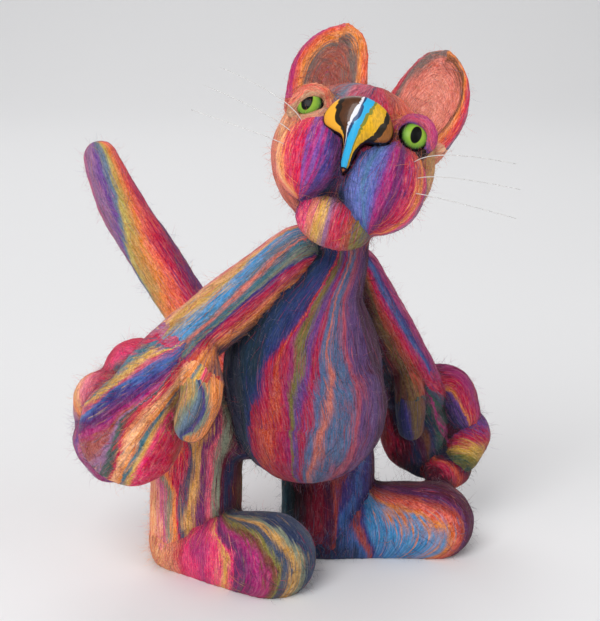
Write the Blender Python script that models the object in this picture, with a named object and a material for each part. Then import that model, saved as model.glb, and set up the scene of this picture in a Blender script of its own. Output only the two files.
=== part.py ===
"""A needle-felted wool cat that stands on two long feet with its head tilted.

The wool is one felted solid. Lobes and limbs are laid down as closed shapes,
melted into one skin, thinned to plain facets and cut flat under the feet.
The glass eyes, the glossy nose and the whiskers are pieces of their own, each
seated in the wool with a small gap round it.

Lengths are millimetres in a layout whose origin is on the ground midway
between the ankles. The cat looks along -Y and its left side is +X. At the end
everything is moved so that the origin is under the middle of the whole cat.
"""

import math

import bmesh
import bpy
from mathutils import Euler, Matrix, Vector

MM = 0.001

# Wool skin: the cell that melts the lobes together, and how coarse the facets are
SKIN_CELL = 1.3
SKIN_SOFTENING = 3
SKIN_TRIANGLES = 6700
SEAT_GAP = 0.3
LIMB_STEPS = 8

# Torso, from the neck down to the bottom of the belly: x, y, z, radius
TORSO = (
    (10.0, -42.0, 150.0, 11.2),
    (9.4, -40.5, 139.0, 12.0),
    (3.5, -34.6, 122.5, 18.4),
    (0.4, -30.0, 108.0, 27.8),
    (0.2, -28.0, 93.5, 33.8),
    (2.2, -29.2, 76.0, 34.0),
)

# Arms, widening into the hands: x, y, z, radius
ARM_RIGHT = (
    (7.8, -30.1, 143.5, 9.4),
    (-3.1, -28.8, 143.6, 10.8),
    (-18.9, -24.6, 133.0, 11.9),
    (-32.8, -19.5, 122.4, 12.7),
    (-46.7, -13.1, 110.7, 12.9),
    (-56.5, -7.4, 98.4, 14.8),
    (-62.5, -2.7, 86.0, 16.4),
)
ARM_LEFT = (
    (20.8, -33.2, 137.8, 8.8),
    (28.2, -32.0, 129.6, 10.0),
    (40.0, -30.0, 112.0, 11.5),
    (51.2, -28.0, 95.8, 12.1),
    (61.8, -26.2, 80.4, 12.9),
    (69.0, -25.0, 65.0, 14.6),
)

# Hands: a palm, flat towards its turn, a thumb in front and curled fingers behind
PALM_RIGHT = (-68.0, 1.5, 71.5)
PALM_RIGHT_RADII = (22.0, 17.0, 23.6)
PALM_RIGHT_TURN = -40.0
THUMB_RIGHT = (
    (-50.5, -22.0, 106.0, 8.0),
    (-54.0, -29.5, 93.0, 8.8),
    (-57.2, -26.4, 79.0, 7.7),
)
FINGERS_RIGHT = (
    ((-56.0, 4.0, 92.0, 11.4), (-55.5, 16.0, 93.0, 12.2), (-59.0, 24.0, 81.0, 9.8)),
    ((-66.0, 13.0, 82.5, 11.4), (-67.5, 25.0, 79.0, 11.6), (-65.5, 31.0, 66.5, 9.8)),
    ((-69.0, 14.0, 64.0, 12.2), (-67.5, 26.5, 60.0, 11.8), (-62.0, 28.0, 49.5, 9.6)),
)
PALM_LEFT = (68.5, -25.5, 49.0)
PALM_LEFT_RADII = (15.5, 14.5, 20.0)
PALM_LEFT_TURN = -40.0
THUMB_LEFT = (
    (55.5, -34.0, 80.0, 6.2),
    (53.5, -39.0, 67.5, 7.0),
    (52.5, -40.5, 57.0, 6.0),
)
FINGERS_LEFT = (
    ((75.0, -24.0, 67.5, 9.3), (86.5, -31.0, 66.5, 10.0), (87.0, -38.5, 56.0, 8.5)),
    ((79.0, -28.0, 49.0, 9.3), (90.5, -39.0, 46.5, 10.0), (83.0, -44.0, 38.5, 8.0)),
    ((71.5, -29.0, 36.0, 9.6), (80.5, -38.5, 31.0, 9.2), (70.5, -41.5, 30.5, 7.0)),
)

# Legs, from inside the belly down to the ankle: x, y, z, radius
LEG_RIGHT = (
    (-8.0, -9.0, 68.0, 19.0),
    (-20.0, 5.0, 65.0, 19.6),
    (-26.0, 11.5, 52.0, 20.2),
    (-27.4, 12.5, 31.6, 20.4),
    (-27.7, 12.8, 12.0, 20.6),
)
LEG_LEFT = (
    (18.0, -20.0, 60.0, 20.0),
    (25.5, -15.5, 46.0, 20.6),
    (26.4, -14.4, 32.0, 20.8),
    (26.2, -14.2, 12.0, 20.8),
)

# Feet, from the heel to the round toe, all on one flat sole: x, y, z, radius
FOOT_RIGHT = (
    (-29.0, 13.0, 8.5, 19.8),
    (-25.5, -10.0, 9.0, 18.4),
    (-21.5, -33.0, 13.5, 19.2),
)
FOOT_LEFT = (
    (25.8, -14.2, 9.5, 20.0),
    (43.0, -31.5, 12.0, 18.4),
    (59.5, -49.5, 13.5, 17.8),
)

# Tail, from the rump to its tip: x, y, z, radius
TAIL = (
    (5.0, 0.0, 63.0, 12.4),
    (4.0, 20.0, 72.0, 11.8),
    (3.7, 38.6, 84.4, 11.5),
    (1.4, 58.9, 102.9, 11.4),
    (-3.0, 78.3, 124.4, 11.4),
    (-7.7, 95.2, 144.7, 10.8),
    (-9.3, 103.1, 157.1, 9.5),
    (-9.4, 108.4, 165.5, 8.1),
)

# Head: its middle, its tilt and its skull
HEAD_CENTRE = (13.5, -43.9, 181.9)
HEAD_TILT = (-26.2, 15.7, -48.9)
SKULL_WIDTH = 67.6
SKULL_DEPTH = 60.0
SKULL_HEIGHT = 62.4

# Muzzle, as shares of half the skull: +X its left, +Y forward, +Z up
PAD_RIGHT = (-0.42, 0.62, -0.28)
PAD_RIGHT_RADII = (0.43, 0.53, 0.575)
PAD_LEFT = (0.475, 0.62, -0.39)
PAD_LEFT_RADII = (0.505, 0.545, 0.62)
BRIDGE = (0.02, 0.66, 0.16)
BRIDGE_RADII = (0.36, 0.40, 0.30)
CHIN = (0.07, 0.60, -1.0)
CHIN_RADII = (0.49, 0.42, 0.38)

# Ears, as shares of half the skull, with their own width, thickness and hollow
EAR_RIGHT_FOOT = (-0.48, -0.17, 0.42)
EAR_RIGHT_TIP = (-0.60, -0.30, 1.86)
EAR_LEFT_FOOT = (0.48, -0.17, 0.42)
EAR_LEFT_TIP = (0.70, -0.30, 1.90)
EAR_WIDTH = 34.5
EAR_THICKNESS = 8.0
EAR_CUP = 7.0
EAR_BOW = 3.0

# Eyes: domed glass, how far it stands out of the skull, and the felted lids
EYE_WIDTH = 13.0
EYE_DEPTH = 9.6
EYE_STAND_OUT = 1.5
EYE_SIDE = 0.636
EYE_HEIGHT = 0.315
EYE_LOOK = (0.22, 1.0, 0.05)
LID_THICKNESS = 5.4
LID_SPREAD = 1.0
UPPER_LID_ANGLES = (15.0, 175.0)
LOWER_LID_ANGLES = (190.0, 345.0)

# Nose: a glossy shield with a long tail that lies between the muzzle pads
NOSE_WIDTH = 27.8
NOSE_HEIGHT = 30.4
NOSE_THICKNESS = 6.5
NOSE_BULGE = 3.2
NOSE_STAND_OUT = 6.6
NOSE_RISE = 0.24
NOSE_WING_SWEEP = 5.0
NOSE_TAIL_SWEEP = 7.5

# Whiskers: a tapering thread for each root, which is a share of the pad's radii
WHISKER_WIDTH = 0.5
WHISKER_TIP_WIDTH = 0.3
WHISKER_LENGTH = 40.0
WHISKER_ROOT_DEPTH = 3.0
WHISKER_RISE = 11.0
WHISKER_ROOTS = ((0.54, 0.58), (0.74, 0.28), (0.80, -0.04))
WHISKER_LIFTS = (0.32, 0.22, 0.08)


def clear_scene():
    for old in list(bpy.data.objects):
        bpy.data.objects.remove(old, do_unlink=True)


def frame_of(origin, across, forward, up):
    """A matrix whose columns are three directions, set at an origin."""
    turn = Matrix((across, forward, up)).transposed().to_4x4()
    return Matrix.Translation(Vector(origin)) @ turn


def head_frame():
    """From the head's own millimetres, with +Y forward, to the layout's metres."""
    tilt = Euler([math.radians(angle) for angle in HEAD_TILT], "XYZ").to_matrix()
    across, backwards, up = tilt.col[0], tilt.col[1], tilt.col[2]
    return LAYOUT @ frame_of(HEAD_CENTRE, across, -backwards, up)


LAYOUT = Matrix.Scale(MM, 4)
HEAD = head_frame()
HALF_SKULL = Vector((SKULL_WIDTH, SKULL_DEPTH, SKULL_HEIGHT)) * 0.5


def on_head(shares):
    """A place or a size in the head, from its shares of half the skull."""
    return Vector([share * half for share, half in zip(shares, HALF_SKULL)])


def plain_material(name, colour, roughness, metallic=0.0):
    material = bpy.data.materials.new(name)
    material.use_nodes = True
    shader = material.node_tree.nodes["Principled BSDF"]
    shader.inputs["Base Color"].default_value = (*colour, 1.0)
    shader.inputs["Roughness"].default_value = roughness
    shader.inputs["Metallic"].default_value = metallic
    return material


def object_from(name, solid, material=None):
    """Turn a bmesh into an object, and free the bmesh."""
    mesh = bpy.data.meshes.new(name)
    solid.to_mesh(mesh)
    solid.free()
    if material:
        mesh.materials.append(material)
        mesh.shade_smooth()
        mesh.set_sharp_from_angle(angle=math.radians(40.0))
    obj = bpy.data.objects.new(name, mesh)
    bpy.context.collection.objects.link(obj)
    return obj


def cutter(name, solid):
    obj = object_from(name, solid)
    obj.hide_render = True
    obj.display_type = "WIRE"
    return obj


def curve_between(knots, index, t):
    """A point of the smooth curve through the knots, t of the way to the next one."""
    start, end = knots[index], knots[index + 1]
    before = knots[index - 1] if index else 2.0 * start - end
    after = knots[index + 2] if index + 2 < len(knots) else 2.0 * end - start
    return 0.5 * (
        2.0 * start + (end - before) * t
        + (2.0 * before - 5.0 * start + 4.0 * end - after) * t ** 2
        + (3.0 * start - before - 3.0 * end + after) * t ** 3)


def smooth_through(knots, steps):
    """The points of the smooth curve, with some steps between neighbouring knots."""
    knots = [Vector(knot) for knot in knots]
    points = []
    for index in range(len(knots) - 1):
        points += [curve_between(knots, index, step / steps) for step in range(steps)]
    points.append(knots[-1])
    return points


class LaidWool:
    """The closed shapes laid down so far, as points and faces."""

    def __init__(self):
        self.points = []
        self.faces = []
        self.balls = {}

    def add(self, points, faces):
        first = len(self.points)
        self.points += points
        self.faces += [[first + corner for corner in face] for face in faces]

    def ball(self, steps):
        """The points and faces of a round ball of radius one."""
        if steps not in self.balls:
            solid = bmesh.new()
            bmesh.ops.create_uvsphere(
                solid, u_segments=steps, v_segments=steps // 2, radius=1.0)
            points = [vertex.co.copy() for vertex in solid.verts]
            faces = [[vertex.index for vertex in face.verts] for face in solid.faces]
            solid.free()
            self.balls[steps] = (points, faces)
        return self.balls[steps]


def add_lobe(skin, centre, radii, frame=LAYOUT, turn=0.0, steps=24):
    """Lay a closed ellipsoid into the wool; its turn is about the upright."""
    place = frame @ Matrix.Translation(Vector(centre))
    place = place @ Matrix.Rotation(math.radians(turn), 4, "Z")
    place = place @ Matrix.Diagonal((*radii, 1.0))
    points, faces = skin.ball(steps)
    skin.add([place @ point for point in points], faces)


def add_limb(skin, stations, frame=LAYOUT):
    """Lay a limb into the wool: a row of balls along a smooth curve."""
    for x, y, z, radius in smooth_through(stations, LIMB_STEPS):
        add_lobe(skin, (x, y, z), (radius, radius, radius), frame, steps=20)


def add_ear(skin, foot, tip, outward):
    """Lay an ear into the wool: a rounded leaf, thick at its rim and hollow in front."""
    rows, columns = 12, 10
    foot, tip = on_head(foot), on_head(tip)
    rise = tip - foot
    across = Vector((1.0, 0.0, 0.0))
    across = (across - across.project(rise)).normalized()
    forward = rise.cross(across).normalized()
    points = []
    sheets = []
    for face in (0.5, -0.5):
        sheet = []
        for row in range(rows + 1):
            share = row / rows
            half = 0.5 * EAR_WIDTH * math.sqrt(max(0.01, 1.0 - share ** 2.2))
            bow = outward * EAR_BOW * math.sin(math.pi * share)
            middle = foot + rise * share + across * bow
            edge = []
            for column in range(columns + 1):
                t = 2.0 * column / columns - 1.0
                hollow = EAR_CUP * math.sqrt(1.0 - share) * (1.0 - t * t)
                thick = EAR_THICKNESS * (0.4 + 0.6 * math.sqrt(1.0 - t ** 4)) * (1.0 - 0.3 * share)
                points.append(
                    HEAD @ (middle + across * half * t + forward * (face * thick - hollow)))
                edge.append(len(points) - 1)
            sheet.append(edge)
        sheets.append(sheet)
    front, rear = sheets
    faces = []
    for row in range(rows):
        for column in range(columns):
            corners = [(row, column), (row, column + 1), (row + 1, column + 1), (row + 1, column)]
            faces.append([front[r][c] for r, c in corners])
            faces.append([rear[r][c] for r, c in reversed(corners)])
    border = [(0, column) for column in range(columns)]
    border += [(row, columns) for row in range(rows)]
    border += [(rows, column) for column in range(columns, 0, -1)]
    border += [(row, 0) for row in range(rows, 0, -1)]
    for (r, c), (after_r, after_c) in zip(border, border[1:] + border[:1]):
        faces.append([front[after_r][after_c], front[r][c], rear[r][c], rear[after_r][after_c]])
    skin.add(points, faces)


def skull_front(side, height):
    """How far forward the skull's skin is, at a place given in shares of it."""
    return 0.5 * SKULL_DEPTH * math.sqrt(max(0.0, 1.0 - side ** 2 - height ** 2))


def eye_frame(side):
    """The eye's own frame: its middle, with +Y the way it looks."""
    centre = on_head((side * EYE_SIDE, 0.0, EYE_HEIGHT))
    centre.y = skull_front(EYE_SIDE, EYE_HEIGHT) + EYE_STAND_OUT
    look = Vector((side * EYE_LOOK[0], EYE_LOOK[1], EYE_LOOK[2])).normalized()
    across = look.cross(Vector((0.0, 0.0, 1.0))).normalized()
    return HEAD @ frame_of(centre, across, look, across.cross(look))


def eye_solid(side, grow=0.0):
    """The domed glass eye; a grown one cuts its socket."""
    eye = bmesh.new()
    half = 0.5 * EYE_WIDTH + grow
    deep = 0.5 * EYE_DEPTH + grow
    place = eye_frame(side) @ Matrix.Diagonal((half, deep, half, 1.0))
    place = place @ Matrix.Rotation(math.radians(90.0), 4, "X")
    bmesh.ops.create_uvsphere(
        eye, u_segments=20, v_segments=10, radius=1.0, matrix=place)
    bmesh.ops.recalc_face_normals(eye, faces=eye.faces)
    return eye


def add_lid(skin, side, start, end):
    """Lay a felted lid into the wool: an arc round the eye between two angles."""
    reach = 0.5 * EYE_WIDTH + LID_SPREAD
    stations = []
    for step in range(5):
        share = step / 4
        angle = math.radians(start + (end - start) * share)
        radius = 0.5 * LID_THICKNESS * (0.6 + 0.4 * math.sin(math.pi * share))
        stations.append((side * reach * math.cos(angle), 0.0, reach * math.sin(angle), radius))
    add_limb(skin, stations, eye_frame(side))


def nose_outline(grow):
    """One side of the shield from the top of the nose to the tail's end, as (x, z)."""
    shares = (
        (0.0, 0.278), (0.49, 0.235), (0.82, 0.14), (1.0, -0.033),
        (0.92, -0.17), (0.64, -0.232), (0.36, -0.275), (0.235, -0.36),
        (0.17, -0.50), (0.11, -0.64), (0.0, -0.722),
    )
    points = smooth_through(
        [(0.5 * NOSE_WIDTH * x, NOSE_HEIGHT * z) for x, z in shares], 3)
    grown = []
    for index, point in enumerate(points):
        ahead = points[min(index + 1, len(points) - 1)]
        behind = points[max(index - 1, 0)]
        along = (ahead - behind).normalized()
        out = Vector((-along.y, along.x))
        if index in (0, len(points) - 1):
            out = Vector((0.0, 1.0 if index == 0 else -1.0))
        grown.append(point + out * grow)
    return grown


def nose_back_sweep(x, z):
    """How far back the nose bends, towards its wings and down its tail."""
    wing = (2.0 * x / NOSE_WIDTH) ** 2
    tail = max(0.0, -z / NOSE_HEIGHT)
    return NOSE_WING_SWEEP * wing + NOSE_TAIL_SWEEP * tail ** 1.5


def nose_solid(grow=0.0):
    """The shield, domed in front; a grown one cuts its seat in the wool."""
    half = nose_outline(grow)
    ring = half + [Vector((-point.x, point.y)) for point in reversed(half[1:-1])]
    count = len(ring)
    rise = NOSE_RISE * HALF_SKULL.z
    rim = skull_front(0.0, NOSE_RISE) + NOSE_STAND_OUT
    shield = bmesh.new()
    loops = []
    for share, lift in ((1.0, None), (1.0, 0.0), (0.82, 0.57), (0.55, 0.84), (0.25, 0.97)):
        loop = []
        for point in ring:
            x = point.x * share
            z = point.y * (0.45 + 0.55 * share)
            y = rim - nose_back_sweep(x, z)
            if lift is None:
                y -= NOSE_THICKNESS + grow
            else:
                y += NOSE_BULGE * lift + grow
            loop.append(shield.verts.new(HEAD @ Vector((x, y, z + rise))))
        loops.append(loop)
    for low, high in zip(loops, loops[1:]):
        for index in range(count):
            after = (index + 1) % count
            shield.faces.new((low[index], low[after], high[after], high[index]))
    turn = count // 2
    for loop in (loops[0], loops[-1]):
        shield.faces.new((loop[0], loop[1], loop[-1]))
        for index in range(1, turn - 1):
            shield.faces.new((
                loop[index], loop[index + 1], loop[count - index - 1], loop[count - index]))
        shield.faces.new((loop[turn - 1], loop[turn], loop[turn + 1]))
    bmesh.ops.recalc_face_normals(shield, faces=shield.faces)
    return shield


def whisker_line(side, number):
    """A whisker's points in the head's frame: out of its pad, then off to the side."""
    centre, radii = (PAD_RIGHT, PAD_RIGHT_RADII) if side < 0.0 else (PAD_LEFT, PAD_LEFT_RADII)
    centre, radii = on_head(centre), on_head(radii)
    out, up = WHISKER_ROOTS[number]
    ahead = math.sqrt(1.0 - out ** 2 - up ** 2)
    shares = Vector((side * out, ahead, up))
    root = centre + Vector([share * radius for share, radius in zip(shares, radii)])
    normal = Vector([share / radius for share, radius in zip(shares, radii)]).normalized()
    reach = Vector((side, -0.1, WHISKER_LIFTS[number])).normalized()
    start = root - normal * WHISKER_ROOT_DEPTH
    bend = root + normal * WHISKER_RISE
    end = root + reach * WHISKER_LENGTH
    line = [start, root]
    steps = 10
    for step in range(1, steps + 1):
        t = step / steps
        line.append(root * (1.0 - t) ** 2 + bend * 2.0 * t * (1.0 - t) + end * t ** 2)
    return line


def thread(line, widths, sides=6):
    """A closed round thread through the points, with a width at each."""
    solid = bmesh.new()
    rings = []
    aside = None
    for index, point in enumerate(line):
        ahead = line[min(index + 1, len(line) - 1)]
        behind = line[max(index - 1, 0)]
        along = (ahead - behind).normalized()
        if aside is None:
            aside = along.orthogonal().normalized()
        aside = (aside - aside.project(along)).normalized()
        other = along.cross(aside)
        ring = []
        for corner in range(sides):
            angle = 2.0 * math.pi * corner / sides
            spoke = aside * math.cos(angle) + other * math.sin(angle)
            ring.append(solid.verts.new(HEAD @ (point + spoke * 0.5 * widths[index])))
        rings.append(ring)
    for low, high in zip(rings, rings[1:]):
        for corner in range(sides):
            after = (corner + 1) % sides
            solid.faces.new((low[corner], low[after], high[after], high[corner]))
    solid.faces.new(rings[0])
    solid.faces.new(rings[-1])
    bmesh.ops.recalc_face_normals(solid, faces=solid.faces)
    return solid


def whisker(side, number):
    line = whisker_line(side, number)
    last = len(line) - 1
    widths = [WHISKER_WIDTH + (WHISKER_TIP_WIDTH - WHISKER_WIDTH) * index / last
              for index in range(last + 1)]
    return thread(line, widths)


def whisker_hole(side, number):
    """The hole that a whisker's root stands in, open to the air."""
    line = whisker_line(side, number)[:3]
    inward = (line[0] - line[1]).normalized()
    line[0] = line[0] + inward * SEAT_GAP
    return thread(line, [WHISKER_WIDTH + 2.0 * SEAT_GAP] * len(line))


def lay_down_wool():
    """A mesh of all the lobes and limbs of the cat, still overlapping."""
    skin = LaidWool()
    limbs = (TORSO, ARM_RIGHT, ARM_LEFT, THUMB_RIGHT, THUMB_LEFT, LEG_RIGHT, LEG_LEFT,
             FOOT_RIGHT, FOOT_LEFT, TAIL)
    for stations in limbs + FINGERS_RIGHT + FINGERS_LEFT:
        add_limb(skin, stations)
    add_lobe(skin, PALM_RIGHT, PALM_RIGHT_RADII, turn=PALM_RIGHT_TURN)
    add_lobe(skin, PALM_LEFT, PALM_LEFT_RADII, turn=PALM_LEFT_TURN)
    add_lobe(skin, (0.0, 0.0, 0.0), HALF_SKULL, HEAD, steps=40)
    for centre, radii in ((PAD_RIGHT, PAD_RIGHT_RADII), (PAD_LEFT, PAD_LEFT_RADII),
                          (BRIDGE, BRIDGE_RADII), (CHIN, CHIN_RADII)):
        add_lobe(skin, on_head(centre), on_head(radii), HEAD, steps=32)
    add_ear(skin, EAR_RIGHT_FOOT, EAR_RIGHT_TIP, -1.0)
    add_ear(skin, EAR_LEFT_FOOT, EAR_LEFT_TIP, 1.0)
    for side in (-1.0, 1.0):
        add_lid(skin, side, *UPPER_LID_ANGLES)
        add_lid(skin, side, *LOWER_LID_ANGLES)
    mesh = bpy.data.meshes.new("laid_wool")
    mesh.from_pydata(skin.points, [], skin.faces)
    return mesh


def keep_result(obj):
    """Swap the object's mesh for what its modifiers make of it, and drop them."""
    graph = bpy.context.evaluated_depsgraph_get()
    graph.update()
    result = bpy.data.meshes.new_from_object(obj.evaluated_get(graph), depsgraph=graph)
    before = obj.data
    obj.modifiers.clear()
    obj.data = result
    bpy.data.meshes.remove(before)


def felted_wool_cat(material, cutters):
    """Melt the lobes into one skin, thin it to facets, and cut its seats."""
    wool = bpy.data.objects.new("felted_wool_cat", lay_down_wool())
    bpy.context.collection.objects.link(wool)
    felting = wool.modifiers.new("felting", "REMESH")
    felting.mode = "VOXEL"
    felting.voxel_size = SKIN_CELL * MM
    easing = wool.modifiers.new("easing", "SMOOTH")
    easing.factor = 0.5
    easing.iterations = SKIN_SOFTENING
    keep_result(wool)
    triangles = sum(len(face.vertices) - 2 for face in wool.data.polygons)
    facets = wool.modifiers.new("facets", "DECIMATE")
    facets.ratio = SKIN_TRIANGLES / triangles
    keep_result(wool)
    for tool in cutters:
        cut = wool.modifiers.new(tool.name, "BOOLEAN")
        cut.operation = "DIFFERENCE"
        cut.solver = "EXACT"
        cut.object = tool
    keep_result(wool)
    wool.data.name = wool.name
    wool.data.materials.clear()
    wool.data.materials.append(material)
    wool.data.shade_smooth()


def ground_cutter():
    """A block whose top is the ground, to flatten the soles."""
    reach, deep = 400.0, 40.0
    block = bmesh.new()
    place = LAYOUT @ Matrix.Translation(Vector((0.0, 0.0, -0.5 * deep)))
    place = place @ Matrix.Diagonal((reach, reach, deep, 1.0))
    bmesh.ops.create_cube(block, size=1.0, matrix=place)
    return cutter("ground_cutter", block)


def stand_on_origin():
    """Move everything so that the origin is under the middle of the whole cat."""
    corners = [Vector(vertex.co) for obj in bpy.data.objects if not obj.hide_render
               for vertex in obj.data.vertices]
    low = Vector([min(corner[axis] for corner in corners) for axis in range(3)])
    high = Vector([max(corner[axis] for corner in corners) for axis in range(3)])
    middle = (low + high) * 0.5
    shift = Matrix.Translation(Vector((-middle.x, -middle.y, -low.z)))
    for obj in bpy.data.objects:
        obj.data.transform(shift)


def main():
    clear_scene()
    wool = plain_material("felted_wool", (0.36, 0.12, 0.20), 0.95)
    glass = plain_material("eye_glass", (0.16, 0.42, 0.06), 0.08)
    gloss = plain_material("nose_gloss", (0.62, 0.34, 0.05), 0.12)
    nylon = plain_material("whisker_nylon", (0.85, 0.85, 0.83), 0.3)
    tools = [ground_cutter()]
    for name, side in (("right", -1.0), ("left", 1.0)):
        object_from(name + "_eye", eye_solid(side), glass)
        tools.append(cutter(name + "_socket", eye_solid(side, SEAT_GAP)))
        for number in range(len(WHISKER_ROOTS)):
            label = f"{name}_whisker_{number + 1}"
            object_from(label, whisker(side, number), nylon)
            tools.append(cutter(label + "_hole", whisker_hole(side, number)))
    object_from("nose", nose_solid(), gloss)
    tools.append(cutter("nose_seat", nose_solid(SEAT_GAP)))
    felted_wool_cat(wool, tools)
    stand_on_origin()


main()
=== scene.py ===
"""A needle-felted wool cat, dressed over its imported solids.

The wool is laid down again from the same lobes and limbs as the solids, at a finer
grain. Every form of the cat has its own flow, which says how the roving was laid on
it: across the flow run the dyed stripes, and along it run the fibres. Loose fibres
follow the same flow and stand out as a soft fuzz.

Lengths are millimetres in the layout of the solids, whose origin is on the ground
between the ankles. The cat looks along -Y and its left side is +X.
"""

import math

import bpy
import numpy as np
from mathutils import Euler, Matrix, Vector
from mathutils.bvhtree import BVHTree


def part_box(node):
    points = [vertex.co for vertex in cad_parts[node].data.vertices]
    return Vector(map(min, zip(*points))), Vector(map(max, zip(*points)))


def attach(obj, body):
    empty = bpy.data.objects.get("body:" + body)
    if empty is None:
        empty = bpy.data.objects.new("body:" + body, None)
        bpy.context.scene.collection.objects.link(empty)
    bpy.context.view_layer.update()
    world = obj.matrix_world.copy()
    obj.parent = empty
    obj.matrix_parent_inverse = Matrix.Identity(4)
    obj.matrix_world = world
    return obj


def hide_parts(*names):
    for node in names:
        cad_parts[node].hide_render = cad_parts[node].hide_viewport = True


MM = 0.001
SEED = 11

# Camera: where it stands in the layout, which way it looks, and its focal length
EYE_POINT = (-421.07, -528.20, 292.59)
VIEW_YAW = 40.0
VIEW_PITCH = -15.0
SENSOR = 36.0
FOCAL_LENGTH = 93.33

# Studio: the paper that sweeps up behind, the light all round, and the soft lamps with
# their place, size and power
FLOOR_COLOUR = (0.84, 0.84, 0.85)
FLOOR_HALF_WIDTH = 4.0
SWEEP_START = 1.4
SWEEP_RADIUS = 0.8
SWEEP_STEPS = 13
WORLD_LIGHT = 0.40
LIGHT_TARGET = (0.0, 0.0, 0.1)
LIGHTS = (
    ("key_light", (-1.2, -0.6, 1.4), 1.0, 21.0),
    ("fill_light", (0.5, -1.5, 0.9), 1.2, 5.0),
    ("back_light", (0.6, 1.1, 1.4), 1.2, 9.0),
)

# Wool skin: how fine and how soft it is, the gap round what sits in it, and its flat soles
SKIN_CELL = 1.28
SKIN_SMOOTHING = 0.5
SKIN_SOFTENING = 4
SEAT_GAP = 0.3
FLAT_SOLE = 0.05
MOST_LANES = 32

# Relief of the wool: how high its lumps and strands stand, and the grain of each
LUMP_HEIGHT = 0.35
RIDGE_HEIGHT = 0.22
LUMP_GRAIN = 7.0
WIDE_STRAND_GRAIN = (0.55, 0.55, 0.10)
THIN_STRAND_GRAIN = (0.95, 0.95, 0.17)

# Borders between forms: how far they wander, and how far points may step onto them
EDGE_WANDER = 0.6
EDGE_GRAIN = 3.5
BORDER_REACH = 0.62
BORDER_PROBE = 0.2

# How finely the forms are laid: balls and lobes as rings and segments, ears as rows and columns
CURVE_STEPS = 12
BALL_GRID = (12, 20)
LOBE_GRID = (20, 32)
EYE_GRID = (40, 64)
EAR_GRID = (16, 14)

# Torso, from the neck down to the bottom of the belly: x, y, z, radius
TORSO = (
    (10.0, -42.0, 150.0, 11.2),
    (9.4, -40.5, 139.0, 12.0),
    (3.5, -34.6, 122.5, 18.4),
    (0.4, -30.0, 108.0, 27.8),
    (0.2, -28.0, 93.5, 33.8),
    (2.2, -29.2, 76.0, 34.0),
)

# Arms, widening into the hands: x, y, z, radius
ARM_RIGHT = (
    (7.8, -30.1, 143.5, 9.4),
    (-3.1, -28.8, 143.6, 10.8),
    (-18.9, -24.6, 133.0, 11.9),
    (-32.8, -19.5, 122.4, 12.7),
    (-46.7, -13.1, 110.7, 12.9),
    (-56.5, -7.4, 98.4, 14.8),
    (-62.5, -2.7, 86.0, 16.4),
)
ARM_LEFT = (
    (20.8, -33.2, 137.8, 8.8),
    (28.2, -32.0, 129.6, 10.0),
    (40.0, -30.0, 112.0, 11.5),
    (51.2, -28.0, 95.8, 12.1),
    (61.8, -26.2, 80.4, 12.9),
    (69.0, -25.0, 65.0, 14.6),
)

# Hands: a palm, flat towards its turn, a thumb in front and curled fingers behind
PALM_RIGHT = (-68.0, 1.5, 71.5)
PALM_RIGHT_RADII = (22.0, 17.0, 23.6)
PALM_RIGHT_TURN = -40.0
THUMB_RIGHT = (
    (-50.5, -22.0, 106.0, 8.0),
    (-54.0, -29.5, 93.0, 8.8),
    (-57.2, -26.4, 79.0, 7.7),
)
FINGERS_RIGHT = (
    ((-56.0, 4.0, 92.0, 11.4), (-55.5, 16.0, 93.0, 12.2), (-59.0, 24.0, 81.0, 9.8)),
    ((-66.0, 13.0, 82.5, 11.4), (-67.5, 25.0, 79.0, 11.6), (-65.5, 31.0, 66.5, 9.8)),
    ((-69.0, 14.0, 64.0, 12.2), (-67.5, 26.5, 60.0, 11.8), (-62.0, 28.0, 49.5, 9.6)),
)
PALM_LEFT = (68.5, -25.5, 49.0)
PALM_LEFT_RADII = (15.5, 14.5, 20.0)
PALM_LEFT_TURN = -40.0
THUMB_LEFT = (
    (55.5, -34.0, 80.0, 6.2),
    (53.5, -39.0, 67.5, 7.0),
    (52.5, -40.5, 57.0, 6.0),
)
FINGERS_LEFT = (
    ((75.0, -24.0, 67.5, 9.3), (86.5, -31.0, 66.5, 10.0), (87.0, -38.5, 56.0, 8.5)),
    ((79.0, -28.0, 49.0, 9.3), (90.5, -39.0, 46.5, 10.0), (83.0, -44.0, 38.5, 8.0)),
    ((71.5, -29.0, 36.0, 9.6), (80.5, -38.5, 31.0, 9.2), (70.5, -41.5, 30.5, 7.0)),
)

# Legs, from inside the belly down to the ankle: x, y, z, radius
LEG_RIGHT = (
    (-8.0, -9.0, 68.0, 19.0),
    (-20.0, 5.0, 65.0, 19.6),
    (-26.0, 11.5, 52.0, 20.2),
    (-27.4, 12.5, 31.6, 20.4),
    (-27.7, 12.8, 12.0, 20.6),
)
LEG_LEFT = (
    (18.0, -20.0, 60.0, 20.0),
    (25.5, -15.5, 46.0, 20.6),
    (26.4, -14.4, 32.0, 20.8),
    (26.2, -14.2, 12.0, 20.8),
)

# The course of roving that differs from its form's own: past the belly's end, down the leg
BELLY_ONWARD = ((2.2, -29.2, 76.0), (2.6, -29.4, 60.0), (2.8, -29.4, 46.0))
COURSE_LEG_RIGHT = ((-24.3, 10.3, 86.4), *(station[:3] for station in LEG_RIGHT[2:]))

# Feet, from the heel to the round toe, all on one flat sole: x, y, z, radius
FOOT_RIGHT = (
    (-29.0, 13.0, 8.5, 19.8),
    (-25.5, -10.0, 9.0, 18.4),
    (-21.5, -33.0, 13.5, 19.2),
)
FOOT_LEFT = (
    (25.8, -14.2, 9.5, 20.0),
    (43.0, -31.5, 12.0, 18.4),
    (59.5, -49.5, 13.5, 17.8),
)
INSTEP_RIGHT = (-27.5, -4.0, 30.0)
INSTEP_LEFT = (34.0, -22.0, 30.0)

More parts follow.
